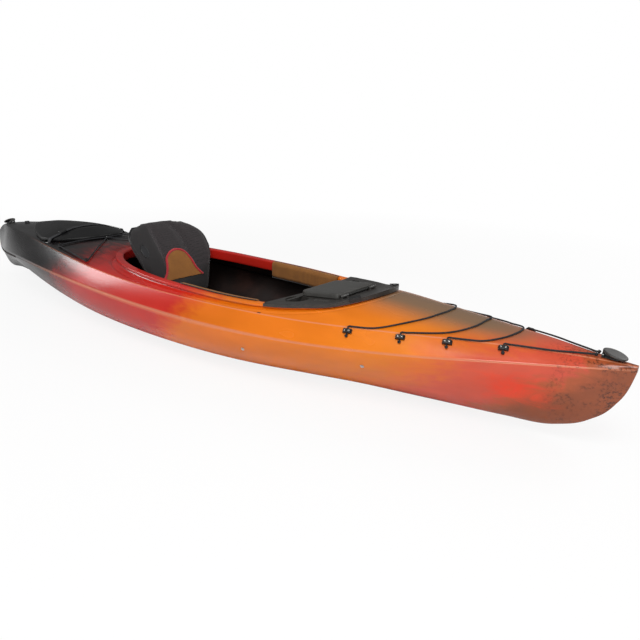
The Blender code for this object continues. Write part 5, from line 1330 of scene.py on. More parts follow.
@dataclass
class Shell:
    """The moulded hull below the chine and the deck above it, with the cockpit's coaming.

    Attributes:
        stations: Sections along the boat.
        wall: Thickness of the moulding as drawn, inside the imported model's own wall.
        fillet: Rounding of the deck's crease.
        grid: Spacing of the deck panel's points.
        ring_points: Points round the coaming.
        foot: Distance from the lip's outer edge out to the coaming's foot.
        groove: Distance out from the coaming's foot, and drop, of each line of the groove round it.
        hatch_rim: Distance of the hatch's rim out from the hatch's outline.
        plug: Place along the boat, and radius, of the drain hole.
    """

    stations: int = 200
    wall: float = 0.0042
    fillet: float = 0.0065
    grid: float = 0.0125
    ring_points: int = 400
    foot: float = 0.017
    groove: Table = ((0.0020, 0.0006), (0.0036, 0.0026), (0.0052, 0.0026), (0.0066, 0.0006), (0.0084, 0.0))
    hatch_rim: float = -0.007
    plug: tuple[float, float] = (-1.560, 0.0085)

    def places(self) -> list[float]:
        """Give the stations, crowded towards the ends where the lines turn fastest."""
        half = LINES.length / 2
        turns = [math.pi * i / self.stations for i in range(self.stations + 1)]
        return [-half * math.cos(t) * (1 - 0.12 * math.sin(t) ** 2) for t in turns]

    def thicken(self, piece: bpy.types.Object, thin: Callable[[Vector], float]) -> None:
        """Give a skin its wall on the inside, thinner where two walls would meet.

        Args:
            piece: The skin.
            thin: Share of the wall's thickness at a point.
        """
        group = piece.vertex_groups.new(name="wall")
        for vert in piece.data.vertices:
            group.add([vert.index], thin(vert.co), 'REPLACE')
        wall = piece.modifiers.new("wall", 'SOLIDIFY')
        wall.thickness, wall.offset = self.wall, -1.0
        wall.vertex_group, wall.thickness_vertex_group = "wall", 0.0
        wall.material_offset, wall.material_offset_rim = 1, 1
        for finish in (SHELL, SHELL_INSIDE):
            piece.data.materials.append(finish.material())
        bake(piece)
        piece.vertex_groups.clear()

    def mark_ridges(self, piece: bpy.types.Object) -> None:
        """Mark how near each point lies to the chine or the crease, where a pale highlight is painted on the
        skin.

        Args:
            piece: Hull or deck, before it gets its wall.
        """
        layer = piece.data.attributes.new("ridge", 'FLOAT', 'POINT')
        for vert, item in zip(piece.data.vertices, layer.data):
            x, y, z = vert.co
            wide, seam = LINES.chine(x)
            edge, height = LINES.crease(x)
            near = min(math.hypot(abs(y) - wide, z - seam), math.hypot(abs(y) - edge, z - height))
            item.value = 0.8 * (1.0 - smooth_step((near - 0.0006) / 0.0030))

    def tips(self, point: Vector) -> float:
        """Thin the wall towards the boat's two ends."""
        return 0.08 + 0.92 * smooth_step((LINES.length / 2 - 0.02 - abs(point.x)) / 0.16)

    def make_hull(self) -> bpy.types.Object:
        """Loft the hull from keel to chine, with a rounded upper edge.

        Returns:
            The hull.
        """
        rings = []
        for x in self.places():
            side = [LINES.hull_section(x, math.pi / 2 * (i / 40) ** 0.9) for i in range(41)]
            y, z = side[-1]
            side[-1] = (y - 0.0001, z - 0.0010)
            side.append((y - 0.0008, z))
            rings.append([(x, b, h) for b, h in reversed(side)] + [(x, -b, h) for b, h in side])
        verts, faces = loft(rings, open_rings=True)
        made = new_piece("hull_moulding", verts, faces)
        face_outwards(made, 1e-6)
        mesh_low = min(made.data.polygons, key=lambda f: f.center.z)
        if mesh_low.normal.z > 0:
            made.data.flip_normals()
        self.mark_ridges(made)
        self.thicken(made, self.tips)
        return place_piece(made, SHELL, "hull_body", "hull", inner=SHELL_INSIDE)

    def band_ring(self, x: float) -> list[Point]:
        """Give the deck's side from the seam up over the rounded crease.

        Args:
            x: Place along the boat.

        Returns:
            Points on the port side.
        """
        wide, seam = LINES.chine(x)
        edge, height = LINES.crease(x)
        r = min(self.fillet, 0.45 * edge)
        mid = Vector(((wide + edge) / 2 + 0.002, (seam + height) / 2))
        low = Vector((wide, seam))
        corner = Vector((edge, height))
        inner = Vector((edge - r, LINES.deck_height(x, edge - r)))
        pull = min(r / max((corner - mid).length, 1e-6), 0.6)
        rise = corner.lerp(mid, pull)
        pts = [Vector((wide - 0.0008, low.y)), Vector((wide - 0.0001, low.y + 0.0010))]
        for t in (0.1, 0.25, 0.4, 0.55, 0.7, 0.85):
            way = low * (1 - t) ** 2 + (2 * mid - (low + rise) / 2) * (2 * t * (1 - t)) + rise * t * t
            pts.append(way)
        for t in (0.0, 0.2, 0.4, 0.6, 0.8, 1.0):
            pts.append(rise * (1 - t) ** 2 + corner * (2 * t * (1 - t)) + inner * t * t)
        return [(x, p.x, p.y) for p in pts]

    def panel(self, rings: Sequence[Sequence[Point]], loops: Sequence[tuple[list[Vector], list[float]]],
              holes: Sequence[list[Vector]]) -> tuple[list, list]:
        """Mesh the deck panel between its creases, round its holes.

        Args:
            rings: Port side rings, whose last points are the panel's edge.
            loops: Closed lines that the mesh must follow, with each point's height.
            holes: Outlines of the openings.

        Returns:
            Points and faces.
        """
        port = [Vector((ring[-1][0], ring[-1][1])) for ring in rings]
        star = [Vector((p.x, -p.y)) for p in reversed(port)]
        edge = port + star
        plan, heights, edges = list(edge), [], []
        heights += [ring[-1][2] for ring in rings] + [ring[-1][2] for ring in reversed(rings)]
        edges += [(i, (i + 1) % len(edge)) for i in range(len(edge))]
        for loop, tall in loops:
            start = len(plan)
            plan += loop
            heights += tall
            edges += [(start + i, start + (i + 1) % len(loop)) for i in range(len(loop))]
        near = KDTree(len(plan))
        for i, p in enumerate(plan):
            near.insert((p.x, p.y, 0), i)
        near.balance()
        half = LINES.length / 2
        grid = [Vector((x, y + (0.5 * self.grid if row % 2 else 0.0)))
                for row, x in enumerate(np.arange(-half + 0.006, half, self.grid))
                for y in np.arange(-0.36, 0.36, self.grid)]
        grid = [p for p in grid if near.find((p.x, p.y, 0))[2] > 0.006
                and abs(p.y) < LINES.crease(p.x)[0] - self.fillet - 0.003]
        grid = [p for p in grid if not any(inside([p], hole)[0] for hole in holes)]
        plan += grid
        heights += [LINES.deck_height(p.x, p.y) for p in grid]
        flat, _, faces, origins, _, _ = delaunay_2d_cdt(plan, edges, [], 0, 1e-7)
        middles = [sum((flat[i] for i in face), Vector((0, 0))) / 3 for face in faces]
        keep = np.array(inside(middles, edge))
        for hole in holes:
            keep &= ~np.array(inside(middles, hole))
        verts = []
        for p, sources in zip(flat, origins):
            z = heights[sources[0]] if sources else LINES.deck_height(p.x, p.y)
            verts.append((p.x, p.y, z))
        return verts, [face for face, kept in zip(faces, keep) if kept]

    def coaming_section(self, point: Vector, normal: Vector) -> list[Point]:
        """Give the coaming's section from the deck up its wall, round its lip and down inside.

        Args:
            point: The lip's outer edge in plan.
            normal: The way outwards there.

        Returns:
            The section's points.
        """
        foot = point + normal * self.foot
        base = LINES.deck_height(foot.x, foot.y)
        under = LINES.lip_height(point.x - 0.0085 * normal.x) - 0.0125
        tall = max(under - base, 0.0)
        cove = [(self.foot, 0.0, 0.0), (self.foot - 0.0022, 0.0022, 0.0), (self.foot - 0.005, 0.0034, 0.03),
                (self.foot - 0.011, 0.0036, 0.10), (0.0015, 0.0036, 0.22), (-0.0035, 0.0030, 0.42),
                (-0.0068, 0.0016, 0.70), (-0.0085, 0.0, 1.0)]
        section = []
        for out, rise, share in cove:
            small = min(rise, 0.3 * tall) if tall > 0 else 0.0
            z = base + small + (under - base - small) * share
            section.append((point.x + normal.x * out, point.y + normal.y * out, z))
        lip = [(-.0070, -.0122), (-.0042, -.0116), (-.0014, -.0109), (-.0003, -.0098), (0, -.0083),
               (0, -.0050), (-.0004, -.0030), (-.0015, -.0014), (-.0034, -.0004), (-.0062, 0), (-.014, .0004),
               (-.023, .0004), (-.0300, 0), (-.0327, -.0006), (-.0347, -.0020), (-.0357, -.0040),
               (-.0360, -.0070), (-.0360, -.020), (-.0358, -.034), (-.0352, -.0430), (-.0340, -.0450)]
        for out, rise in lip:
            x = point.x + normal.x * out
            section.append((x, point.y + normal.y * out, LINES.lip_height(x) + rise))
        return section

    def make_deck(self) -> bpy.types.Object:
        """Make the deck with its rounded crease, grooved coaming, hatch rim and drain hole as one skin.

        Returns:
            The deck.
        """
        rings = [self.band_ring(x) for x in self.places()]
        lip = oval(LINES.lip_middle, LINES.lip_front, LINES.lip_rear, LINES.lip_half_width, (2.0, 2.8),
                   self.ring_points)
        normals = outward(lip)
        loops = []
        for out, drop in ((0.0, 0.0), *self.groove):
            line = [p + n * (self.foot + out) for p, n in zip(lip, normals)]
            loops.append((line, [LINES.deck_height(p.x, p.y) - drop for p in line]))
        foot = loops[0][0]
        rim = SternHatch().outline(self.hatch_rim, 200)
        loops.append((rim, [LINES.deck_height(p.x, p.y) for p in rim]))
        drain = [Vector((self.plug[0] + self.plug[1] * math.cos(2 * math.pi * k / 28),
                         self.plug[1] * math.sin(2 * math.pi * k / 28))) for k in range(28)]
        loops.append((drain, [LINES.deck_height(p.x, p.y) for p in drain]))
        verts, faces = self.panel(rings, loops, [foot, rim, drain])

        for flip in (1, -1):
            band_verts, band_faces = loft([[(x, flip * y, z) for x, y, z in ring] for ring in rings],
                                          caps=False, open_rings=True)
            faces += [tuple(i + len(verts) for i in face) for face in band_faces]
            verts += band_verts
        for ring in (rings[0], rings[-1]):
            faces.append(tuple(range(len(verts), len(verts) + 2 * len(ring))))
            verts += list(ring) + [(x, -y, z) for x, y, z in reversed(ring)]
        sections = [self.coaming_section(p, n) for p, n in zip(lip, normals)]
        ring_verts, ring_faces = loft(sections, around=True, open_rings=True)
        faces += [tuple(i + len(verts) for i in face) for face in ring_faces]
        verts += ring_verts
        inner = SternHatch().outline(self.hatch_rim - 0.004, 200)
        sections = []
        for p, q in zip(rim, inner):
            z = LINES.deck_height(p.x, p.y)
            sections.append([(p.x, p.y, z), (p.x, p.y, z + 0.007), (*p.lerp(q, 0.25), z + 0.008),
                             (*p.lerp(q, 0.75), z + 0.008), (q.x, q.y, z + 0.007), (q.x, q.y, z - 0.009)])
        ring_verts, ring_faces = loft(sections, around=True, open_rings=True)
        faces += [tuple(i + len(verts) for i in face) for face in ring_faces]
        verts += ring_verts
        made = new_piece("deck_moulding", verts, faces)
        face_outwards(made, 2e-5)

        def wall_share(p: Vector) -> float:
            """Thin the wall at the tips and in the hatch's narrow rim."""
            at_rim = abs(p.x + 1.1) < 0.36 and p.z > LINES.deck_height(p.x, p.y) + 0.004
            return 0.3 if at_rim else self.tips(p)

        self.mark_ridges(made)
        self.thicken(made, wall_share)
        return place_piece(made, SHELL, "hull_body", "deck", inner=SHELL_INSIDE)


def inside(points: Sequence[Vector], outline: Sequence[Vector]) -> list[bool]:
    """Test which points lie within a closed outline.

    Args:
        points: The points.
        outline: The outline.

    Returns:
        One answer for each point.
    """
    px = np.array([p.x for p in points])
    py = np.array([p.y for p in points])
    odd = np.zeros(len(px), bool)
    for a, b in zip(outline, list(outline[1:]) + [outline[0]]):
        crosses = (a.y > py) != (b.y > py)
        if crosses.any():
            odd ^= crosses & (px < (b.x - a.x) * (py - a.y) / ((b.y - a.y) or 1e-12) + a.x)
    return odd.tolist()


# The stern hatch

@dataclass
class SternHatch:
    """The stern hatch's domed cover, its gasket, and the webbing strap and buckle that hold it down.

    Attributes:
        middle: Place along the boat of its widest line.
        front: Its front end.
        rear: Its rear end.
        half_width: Half its width.
        powers: How square its front and rear halves are.
        dome: Rise of the cover's top over the deck.
        form: Share of full size, and share of the rise, under the strap.
        shape: Share of full size, and share of the rise, of each ring of the cover.
        strap_at: Place of the strap along the boat.
        strap_width: Width of the webbing.
        strap_thickness: Its thickness.
        strap_reach: Place across the boat of its ends.
        screw_at: Place across the boat of the screws in them.
    """

    middle: float = -1.00
    front: float = -0.775
    rear: float = -1.42
    half_width: float = 0.228
    powers: tuple[float, float] = (2.0, 1.25)
    dome: float = 0.047
    form: Table = ((0.0, 1.0), (.25, .99), (.50, .965), (.56, .93), (.96, .42), (1.0, .345))
    shape: Table = (
        (1.0, .064), (1.0, .20), (1.0, .305), (.9985, .330), (.9950, .350), (.989, .366), (.975, .393),
        (.96, .42), (.92, .471), (.86, .5475), (.78, .6495), (.70, .7515), (.64, .828), (.606, .8714),
        (.594, .876), (.586, .880), (.578, .893), (.567, .914), (.555, .931), (.54, .942), (.52, .956),
        (.49, .966), (.40, .976), (.30, .986), (.20, .993), (.10, .998), (.03, 1.0))
    strap_at: float = -0.930
    strap_width: float = 0.025
    strap_thickness: float = 0.0016
    strap_reach: float = 0.250
    screw_at: float = 0.243

    def outline(self, distance: float, count: int) -> list[Vector]:
        """Give the hatch's outline moved outwards; its pointed rear end moves further than its front."""
        return oval(self.middle, self.front + distance, self.rear - 2.0 * distance,
                    self.half_width + 1.1 * distance, self.powers, count)

    def ring(self, edge: Sequence[Vector], scale: float, rise: float) -> list[Point]:
        """Draw the outline in towards the hatch's middle.

        Args:
            edge: The outline.
            scale: Its share of full size.
            rise: Height over the deck's own level there.

        Returns:
            The ring's points.
        """
        centre = LINES.deck_height(self.middle, 0)
        return [(self.middle + (p.x - self.middle) * scale, p.y * scale,
                 LINES.deck_height(p.x, p.y) * scale + centre * (1 - scale) + rise) for p in edge]

    def top(self, y: float) -> float:
        """Give the height of the cover under the strap.

        Args:
            y: Place across the boat.

        Returns:
            The height.
        """
        ahead = self.strap_at - self.middle
        scale = math.hypot(ahead / (self.front - self.middle), y / self.half_width)
        scale = min(max(scale, 1e-4), 1.0)
        level = LINES.deck_height(self.middle + ahead / scale, y / scale)
        rise = float(np.interp(scale, [f[0] for f in self.form], [f[1] for f in self.form])) * self.dome
        return level * scale + LINES.deck_height(self.middle, 0) * (1 - scale) + rise

    def make_cover(self) -> bpy.types.Object:
        """Mould the cover: a skirt, a slope, a bead round the plateau and the plateau itself.

        Returns:
            The cover.
        """
        edge = self.outline(0.0, 168)
        rings = [self.ring(edge, scale, rise * self.dome) for scale, rise in self.shape]
        verts, faces = loft(rings, caps=False)
        faces.append(tuple(range(len(verts) - len(edge), len(verts))))
        made = new_piece("hatch_cover_moulding", verts, faces)
        face_outwards(made, 1e-6)
        wall = made.modifiers.new("wall", 'SOLIDIFY')
        wall.thickness, wall.offset = 0.0038, -1.0
        bake(made)
        return place_piece(made, HATCH_BLACK, "hatch_body", "hatch_cover")

    def strap_line(self) -> list[Vector]:
        """Give the strap's middle line, from deck to deck over the cover.

        Returns:
            Its points.
        """
        ahead = (self.strap_at - self.middle) / (self.front - self.middle)
        clear = self.half_width * (1 - ahead ** 2) ** 0.5
        half = [(self.strap_reach, LINES.deck_height(self.strap_at, self.strap_reach) + 0.0016),
                (clear + 0.016, LINES.deck_height(self.strap_at, clear + 0.016) + 0.0016),
                (clear + 0.0075, self.top(clear) - 0.004), (clear + 0.0055, self.top(clear) + 0.0020)]
        half += [(clear * s, self.top(clear * s) + 0.0030) for s in np.arange(0.96, 0.05, -0.05)]
        line = half + [(0.0, self.top(0) + 0.0027)] + [(-y, z) for y, z in reversed(half)]
        return [Vector((self.strap_at, y, z)) for y, z in line]

    def make_strap(self, repeats: Repeats) -> None:
        """Lay the webbing over the cover, with its sewn ends and the screws that hold them.

        Args:
            repeats: Sets out the stitches and screws.
        """
        line = self.strap_line()
        half, thick = self.strap_width / 2, self.strap_thickness / 2
        section = [(-half, -0.5 * thick), (-half * 0.94, -thick), (half * 0.94, -thick), (half, -0.5 * thick),
                   (half, 0.5 * thick), (half * 0.94, thick), (-half * 0.94, thick), (-half, 0.5 * thick)]
        rings, lengths = [], []
        for i, p in enumerate(line):
            run = (line[min(i + 1, len(line) - 1)] - line[max(i - 1, 0)]).normalized()
            up = Vector((1, 0, 0)).cross(run)
            up = up if up.z > 0 else -up
            rings.append([p + Vector((u, 0, 0)) + up * w for u, w in section])
            lengths.append(lengths[-1] + (p - line[i - 1]).length if i else 0.0)
        made = new_piece("hatch_strap_webbing", *loft(rings))
        face_outwards(made, 1e-7)
        layer = made.data.uv_layers.new(name="length")
        for loop in made.data.loops:
            co = made.data.vertices[loop.vertex_index].co
            near = min(range(len(line)), key=lambda k: (line[k] - co).length)
            layer.data[loop.index].uv = (co.x, lengths[near])
        place_piece(made, TAPE, "hatch_body", "hatch_strap")
        rows = []
        for side in Side:
            y = side.value * (self.strap_reach - 0.012)
            base = LINES.deck_height(self.strap_at, y) + 0.0026
            for dx in (-0.009, 0.009):
                rows.append([Vector((self.strap_at + dx, y - side.value * k * 0.004, base))
                             for k in range(4)])
        repeats.sew("hatch_strap_stitches", rows, 0.003, THREAD, "hatch_body")
        height = LINES.deck_height(self.strap_at, self.screw_at) + 0.0024
        spots = [frame_at(Vector((self.strap_at, side.value * self.screw_at, height)), Vector((1, 0, 0)),
                          LINES.deck_normal(self.strap_at, side.value * self.screw_at)) for side in Side]
        repeats.set_out("hatch_strap_screws", spots, screw_head(0.0052, 0.0022), STEEL, "hatch_body")

    def build(self, repeats: Repeats) -> None:
        """Build the hatch."""
        self.make_cover()
        self.make_strap(repeats)
        eased("hatch_gasket", RUBBER, 0.0005)
        eased("hatch_buckle", BLACK, 0.0010)


# Deck rigging and handles

def combined(name: str, pieces: Sequence[bpy.types.Object]) -> bpy.types.Object:
    """Join pieces into one, with their maps kept.

    Args:
        name: Name of the joined piece.
        pieces: The pieces, which are removed.

    Returns:
        The joined piece.
    """
    mesh = bmesh.new()
    for piece in pieces:
        mesh.from_mesh(piece.data)
    data = bpy.data.meshes.new(name)
    mesh.to_mesh(data)
    mesh.free()
    for piece in pieces:
        bpy.data.objects.remove(piece)
    data.shade_smooth()
    made = bpy.data.objects.new(name, data)
    bpy.context.scene.collection.objects.link(made)
    return made


@dataclass
class DeckRigging:
    """Shock cords over the bow deck and behind the cockpit, with cleats, posts and a joining link.

    Attributes:
        radius: Radius of a cord.
        rise: Height of a cord's middle over the deck.
        cleat_width: Size of a cleat down the band.
        cleat_drop: Distance of its middle below the crease.
        cleat_height: How far it stands off the band.
        cleats: Places of the cleats along the boat.
        cords: Plan points of each bow cord from its crease to the boat's middle.
        tie: Plan points of the cord from the last cleat to the bow handle.
        post_rear: Place along and across of the rear posts.
        post_front: Place along and across of the front posts.
        stern_rise: Height of the stern cord's middle over the deck.
        meeting: Place along the boat of the stern cord's rear bend, which the link pulls in.
        link: Distance from there to its front bend.
    """

    radius: float = 0.003
    rise: float = 0.0046
    cleat_width: float = 0.016
    cleat_drop: float = 0.016
    cleat_height: float = 0.013
    cleats: tuple[float, ...] = (1.011, 1.197, 1.351, 1.524)
    cords: tuple[Table, ...] = (
        ((1.119, .212), (1.229, .123), (1.272, .049), (1.280, 0)),
        ((1.336, .142), (1.399, .076), (1.413, 0)),
        ((1.452, .128), (1.515, .072), (1.536, 0)))
    tie: Table = ((1.640, .075), (1.727, .037), (1.776, .0150))
    post_rear: tuple[float, float] = (-0.806, 0.242)
    post_front: tuple[float, float] = (-0.490, 0.300)
    stern_rise: float = 0.0066
    meeting: float = -0.757
    link: float = 0.009

    def route(self, x: float, side: int) -> tuple[list[Vector], list[Vector]]:
        """Give a cord's knot below its cleat, and its way under the bridge and over the crease.

        Args:
            x: Place of the cleat.
            side: 1 to port, -1 to starboard.

        Returns:
            The knot's two points, and the way's three.
        """
        top, down, normal, _ = LINES.band(x, side)
        over = (normal + Vector((0, 0, 1))).normalized()
        low = self.cleat_drop + self.cleat_width / 2
        knot = [top + down * (low + 0.011) + normal * (self.rise + 0.0012),
                top + down * (low + 0.0050) + normal * (self.rise + 0.0010)]
        way = [top + down * (low + 0.0005) + normal * self.rise,
               top + down * (self.cleat_drop - 0.006) + normal * self.rise,
               top + over * (self.rise + 0.0010)]
        return knot, way

    def over_deck(self, first: Vector, plan: Sequence, last: Vector) -> list[Vector]:
        """Carry a line over the deck from one fixed point to another.

        Args:
            first: Where it starts.
            plan: Plan points between.
            last: Where it ends.

        Returns:
            The line.
        """
        corners = [Vector((first.x, first.y, 0)), *[Vector((x, y, 0)) for x, y in plan],
                   Vector((last.x, last.y, 0))]
        line = even_line(corners, 0.012)[1:-1]
        return [first, *[Vector((p.x, p.y, LINES.deck_height(p.x, p.y) + self.rise)) for p in line], last]

    def knot(self, name: str, end: Vector, start: Vector) -> bpy.types.Object:
        """Tie a stopper knot: the cord's end wound twice round itself, with a short tail.

        Args:
            name: Name of the piece.
            end: The knot's outer end.
            start: Where the knot starts.

        Returns:
            The knot.
        """
        axis = (end - start).normalized()
        side = axis.cross(Vector((0, 0, 1))).normalized()
        other = axis.cross(side)
        line = []
        for k in range(34):
            t = k / 33
            angle = 2 * math.pi * 1.9 * t
            wide = 0.0036 * min(1.0, 5 * t, 5 * (1 - t) + 0.15)
            along = (0.0005 + 0.0080 * t) if t < 0.92 else 0.0079 + (t - 0.92) * 0.03
            line.append(start + axis * along + (side * math.cos(angle) + other * math.sin(angle)) * wide)
        return swept(name, line, 0.0024, 10)

    def make_cord(self, name: str, line: list[Vector]) -> None:
        """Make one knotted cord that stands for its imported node.

        Args:
            name: The node's name.
            line: The line, with a knot's two points at each end.
        """
        middle = even_line(line[1:-1], 0.006)
        cord = swept(f"{name}_middle", middle, self.radius)
        knots = [self.knot(f"{name}_knot_a", line[0], line[1]),
                 self.knot(f"{name}_knot_b", line[-1], line[-2])]
        place_piece(combined(f"{name}_braid", [cord, *knots]), CORD, "hull_body", name)

    def build_bow(self, repeats: Repeats) -> None:
        """Rig the bow: cleats with their screws, three cords and two ties.

        Args:
            repeats: Sets out the screws.
        """
        screws = []
        for side in Side:
            for number, x in enumerate(self.cleats, 1):
                eased(f"bow_cleat_{number}_{side.word}", BLACK, 0.0014, segments=3)
                top, down, normal, along = LINES.band(x, side.value)
                for ahead in (-0.0075, 0.0075):
                    spot = (top + down * self.cleat_drop + normal * (self.cleat_height + 0.0006)
                            + along * ahead)
                    screws.append(frame_at(spot, along, normal))
        repeats.set_out("bow_cleat_screws", screws, screw_head(0.0030, 0.0014), STEEL, "hull_body")
        for number, (x, plan) in enumerate(zip(self.cleats, self.cords), 1):
            knot, way = self.route(x, -1)
            start, crest = knot + way[:-1], way[-1]
            far = Vector((crest.x, -crest.y, crest.z))
            both = [(px, -py) for px, py in plan] + [(px, py) for px, py in reversed(plan[:-1])]
            over = self.over_deck(crest, both, far)
            back = [Vector((p.x, -p.y, p.z)) for p in reversed(start)]
            self.make_cord(f"bow_cord_{number}", start + over + back)
        for side in Side:
            knot, way = self.route(self.cleats[3], side.value)
            x, y = self.tie[-1]
            last = Vector((x, side.value * y, LINES.deck_height(x, y) + self.rise))
            over = self.over_deck(way[-1], [(px, side.value * py) for px, py in self.tie[:-1]], last)
            end = [last + Vector((step, 0, 0.0012)) for step in (0.004, 0.011)]
            self.make_cord(f"bow_tie_{side.word}", knot + way[:-1] + over + end)

    def stern_plan(self) -> list[Vector]:
        """Give the plan of the stern cord's loop round its four posts and through its link.

        Returns:
            The closed plan.
        """
        radius = 0.0035 + self.radius + 0.0010
        rear, front = self.post_rear, self.post_front
        meet_rear, meet_front = Vector((self.meeting, 0)), Vector((self.meeting + self.link, 0))
        corners = [Vector((rear[0], -rear[1])), Vector((front[0], -front[1])), meet_front,
                   Vector(front), Vector(rear), meet_rear]
        plan = []
        for i, corner in enumerate(corners):
            before, after = corners[i - 1], corners[(i + 1) % len(corners)]
            into, away = (corner - before).normalized(), (after - corner).normalized()
            if corner in (meet_rear, meet_front):
                start, end = corner - into * 0.022, corner + away * 0.022
                pull = 2 * corner - (start + end) / 2
                plan += [start * (1 - t) ** 2 + pull * (2 * t * (1 - t)) + end * t ** 2
                         for t in (k / 8 for k in range(9))]
                continue
            start, end = math.atan2(-into.x, into.y), math.atan2(-away.x, away.y)
            end += 2 * math.pi if end < start else 0.0
            plan += [corner + radius * Vector((math.cos(a), math.sin(a)))
                     for a in np.linspace(start, end, 8)]
        dense = []
        for a, b in zip(plan, plan[1:] + plan[:1]):
            count = max(math.ceil((b - a).length / 0.012), 1)
            dense += [a.lerp(b, k / count) for k in range(count)]
        return dense

    def build_stern(self) -> None:
        """Rig the deck behind the cockpit."""
        line = [Vector((p.x, p.y, LINES.deck_height(p.x, p.y) + self.stern_rise)) for p in self.stern_plan()]
        cord = swept("stern_cord_braid", line, self.radius, closed=True)
        place_piece(cord, CORD, "hull_body", "stern_cord")
        eased("stern_cord_link", STEEL, 0.0002, 60.0)
        for end in ("front", "rear"):
            for side in Side:
                eased(f"stern_post_{end}_{side.word}", BLACK, 0.0006, 40.0)

    def build(self, repeats: Repeats) -> None:
        """Build all the rigging."""
        self.build_bow(repeats)
        self.build_stern()
        for end in ("bow", "stern"):
            eased(f"{end}_handle_base", BLACK, 0.0010, 32.0, 3)
            eased(f"{end}_handle_grip", GREY, 0.0008, 40.0, 3)
            eased(f"{end}_handle_pin", STEEL, 0.0004)
        eased("drain_plug", BLACK, 0.0008, 32.0, 3)


# Padded pieces

def stuffed(node: str, finish: Finish, voxel: float, give: Callable[[Vector], float],
            smoothing: int = 6) -> bpy.types.Object:
    """Swell a pad's cover with cloth simulation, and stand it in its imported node's place.

    Args:
        node: The node whose closed form the cover is cut to.
        finish: The fabric.
        voxel: Size of the cover's cells.
        give: Most that the cover may move at a point, in metres.
        smoothing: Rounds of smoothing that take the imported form's facets out.

    Returns:
        The pad.
    """
    made = node_copy(node, f"{node}_padding")
    remesh = made.modifiers.new("cells", 'REMESH')
    remesh.mode, remesh.voxel_size = 'VOXEL', voxel
    bake(made)
    before = np.array([v.co for v in made.data.vertices])
    moved = before.copy()
    scene = bpy.context.scene
    cloth = made.modifiers.new("cover", 'CLOTH')
    cover = cloth.settings
    cover.quality, cover.mass = 5, 0.25
    cover.tension_stiffness = cover.compression_stiffness = cover.shear_stiffness = 12.0
    cover.bending_stiffness = 0.6
    cover.use_pressure, cover.uniform_pressure_force = True, 4.0
    cover.effector_weights.gravity = 0.0
    cloth.point_cache.frame_start, cloth.point_cache.frame_end = 1, 20
    for step in range(1, 21):
        scene.frame_set(step)
    graph = bpy.context.evaluated_depsgraph_get()
    now = made.evaluated_get(graph).to_mesh()
    moved = np.array([v.co for v in now.vertices])
    made.evaluated_get(graph).to_mesh_clear()
    made.modifiers.remove(cloth)
    scene.frame_set(1)
    shift = moved - before
    length = np.linalg.norm(shift, axis=1)
    most = np.array([give(Vector(p)) for p in before])
    share = np.minimum(1.0, most / np.maximum(length, 1e-9))
    made.data.vertices.foreach_set("co", (before + shift * share[:, None]).astype(np.float32).ravel())
    soft = made.modifiers.new("smooth", 'SMOOTH')
    soft.factor, soft.iterations = 0.5, smoothing
    finer = made.modifiers.new("finer", 'SUBSURF')
    finer.levels = finer.render_levels = 1
    bake(made)
    made.data.shade_smooth()
    place_piece(made, finish, body_of(node), node)
    return made


def surface(piece: bpy.types.Object) -> BVHTree:
    """Make the tree that finds a piece's surface."""
    return BVHTree.FromPolygons([v.co for v in piece.data.vertices],
                                [p.vertices for p in piece.data.polygons])


def cast(piece: bpy.types.Object, starts: Sequence[Vector], way: Vector, lift: float) -> list[Vector]:
    """Drop points on a piece's surface.

    Args:
        piece: The piece.
        starts: Where each point starts from.
        way: The direction that they drop in.
        lift: Height above the surface that they stop at.

    Returns:
        The points that met the surface.
    """
    tree = surface(piece)
    hits = [tree.ray_cast(start, way) for start in starts]
    return [hit[0] - way * lift for hit in hits if hit[0] is not None]


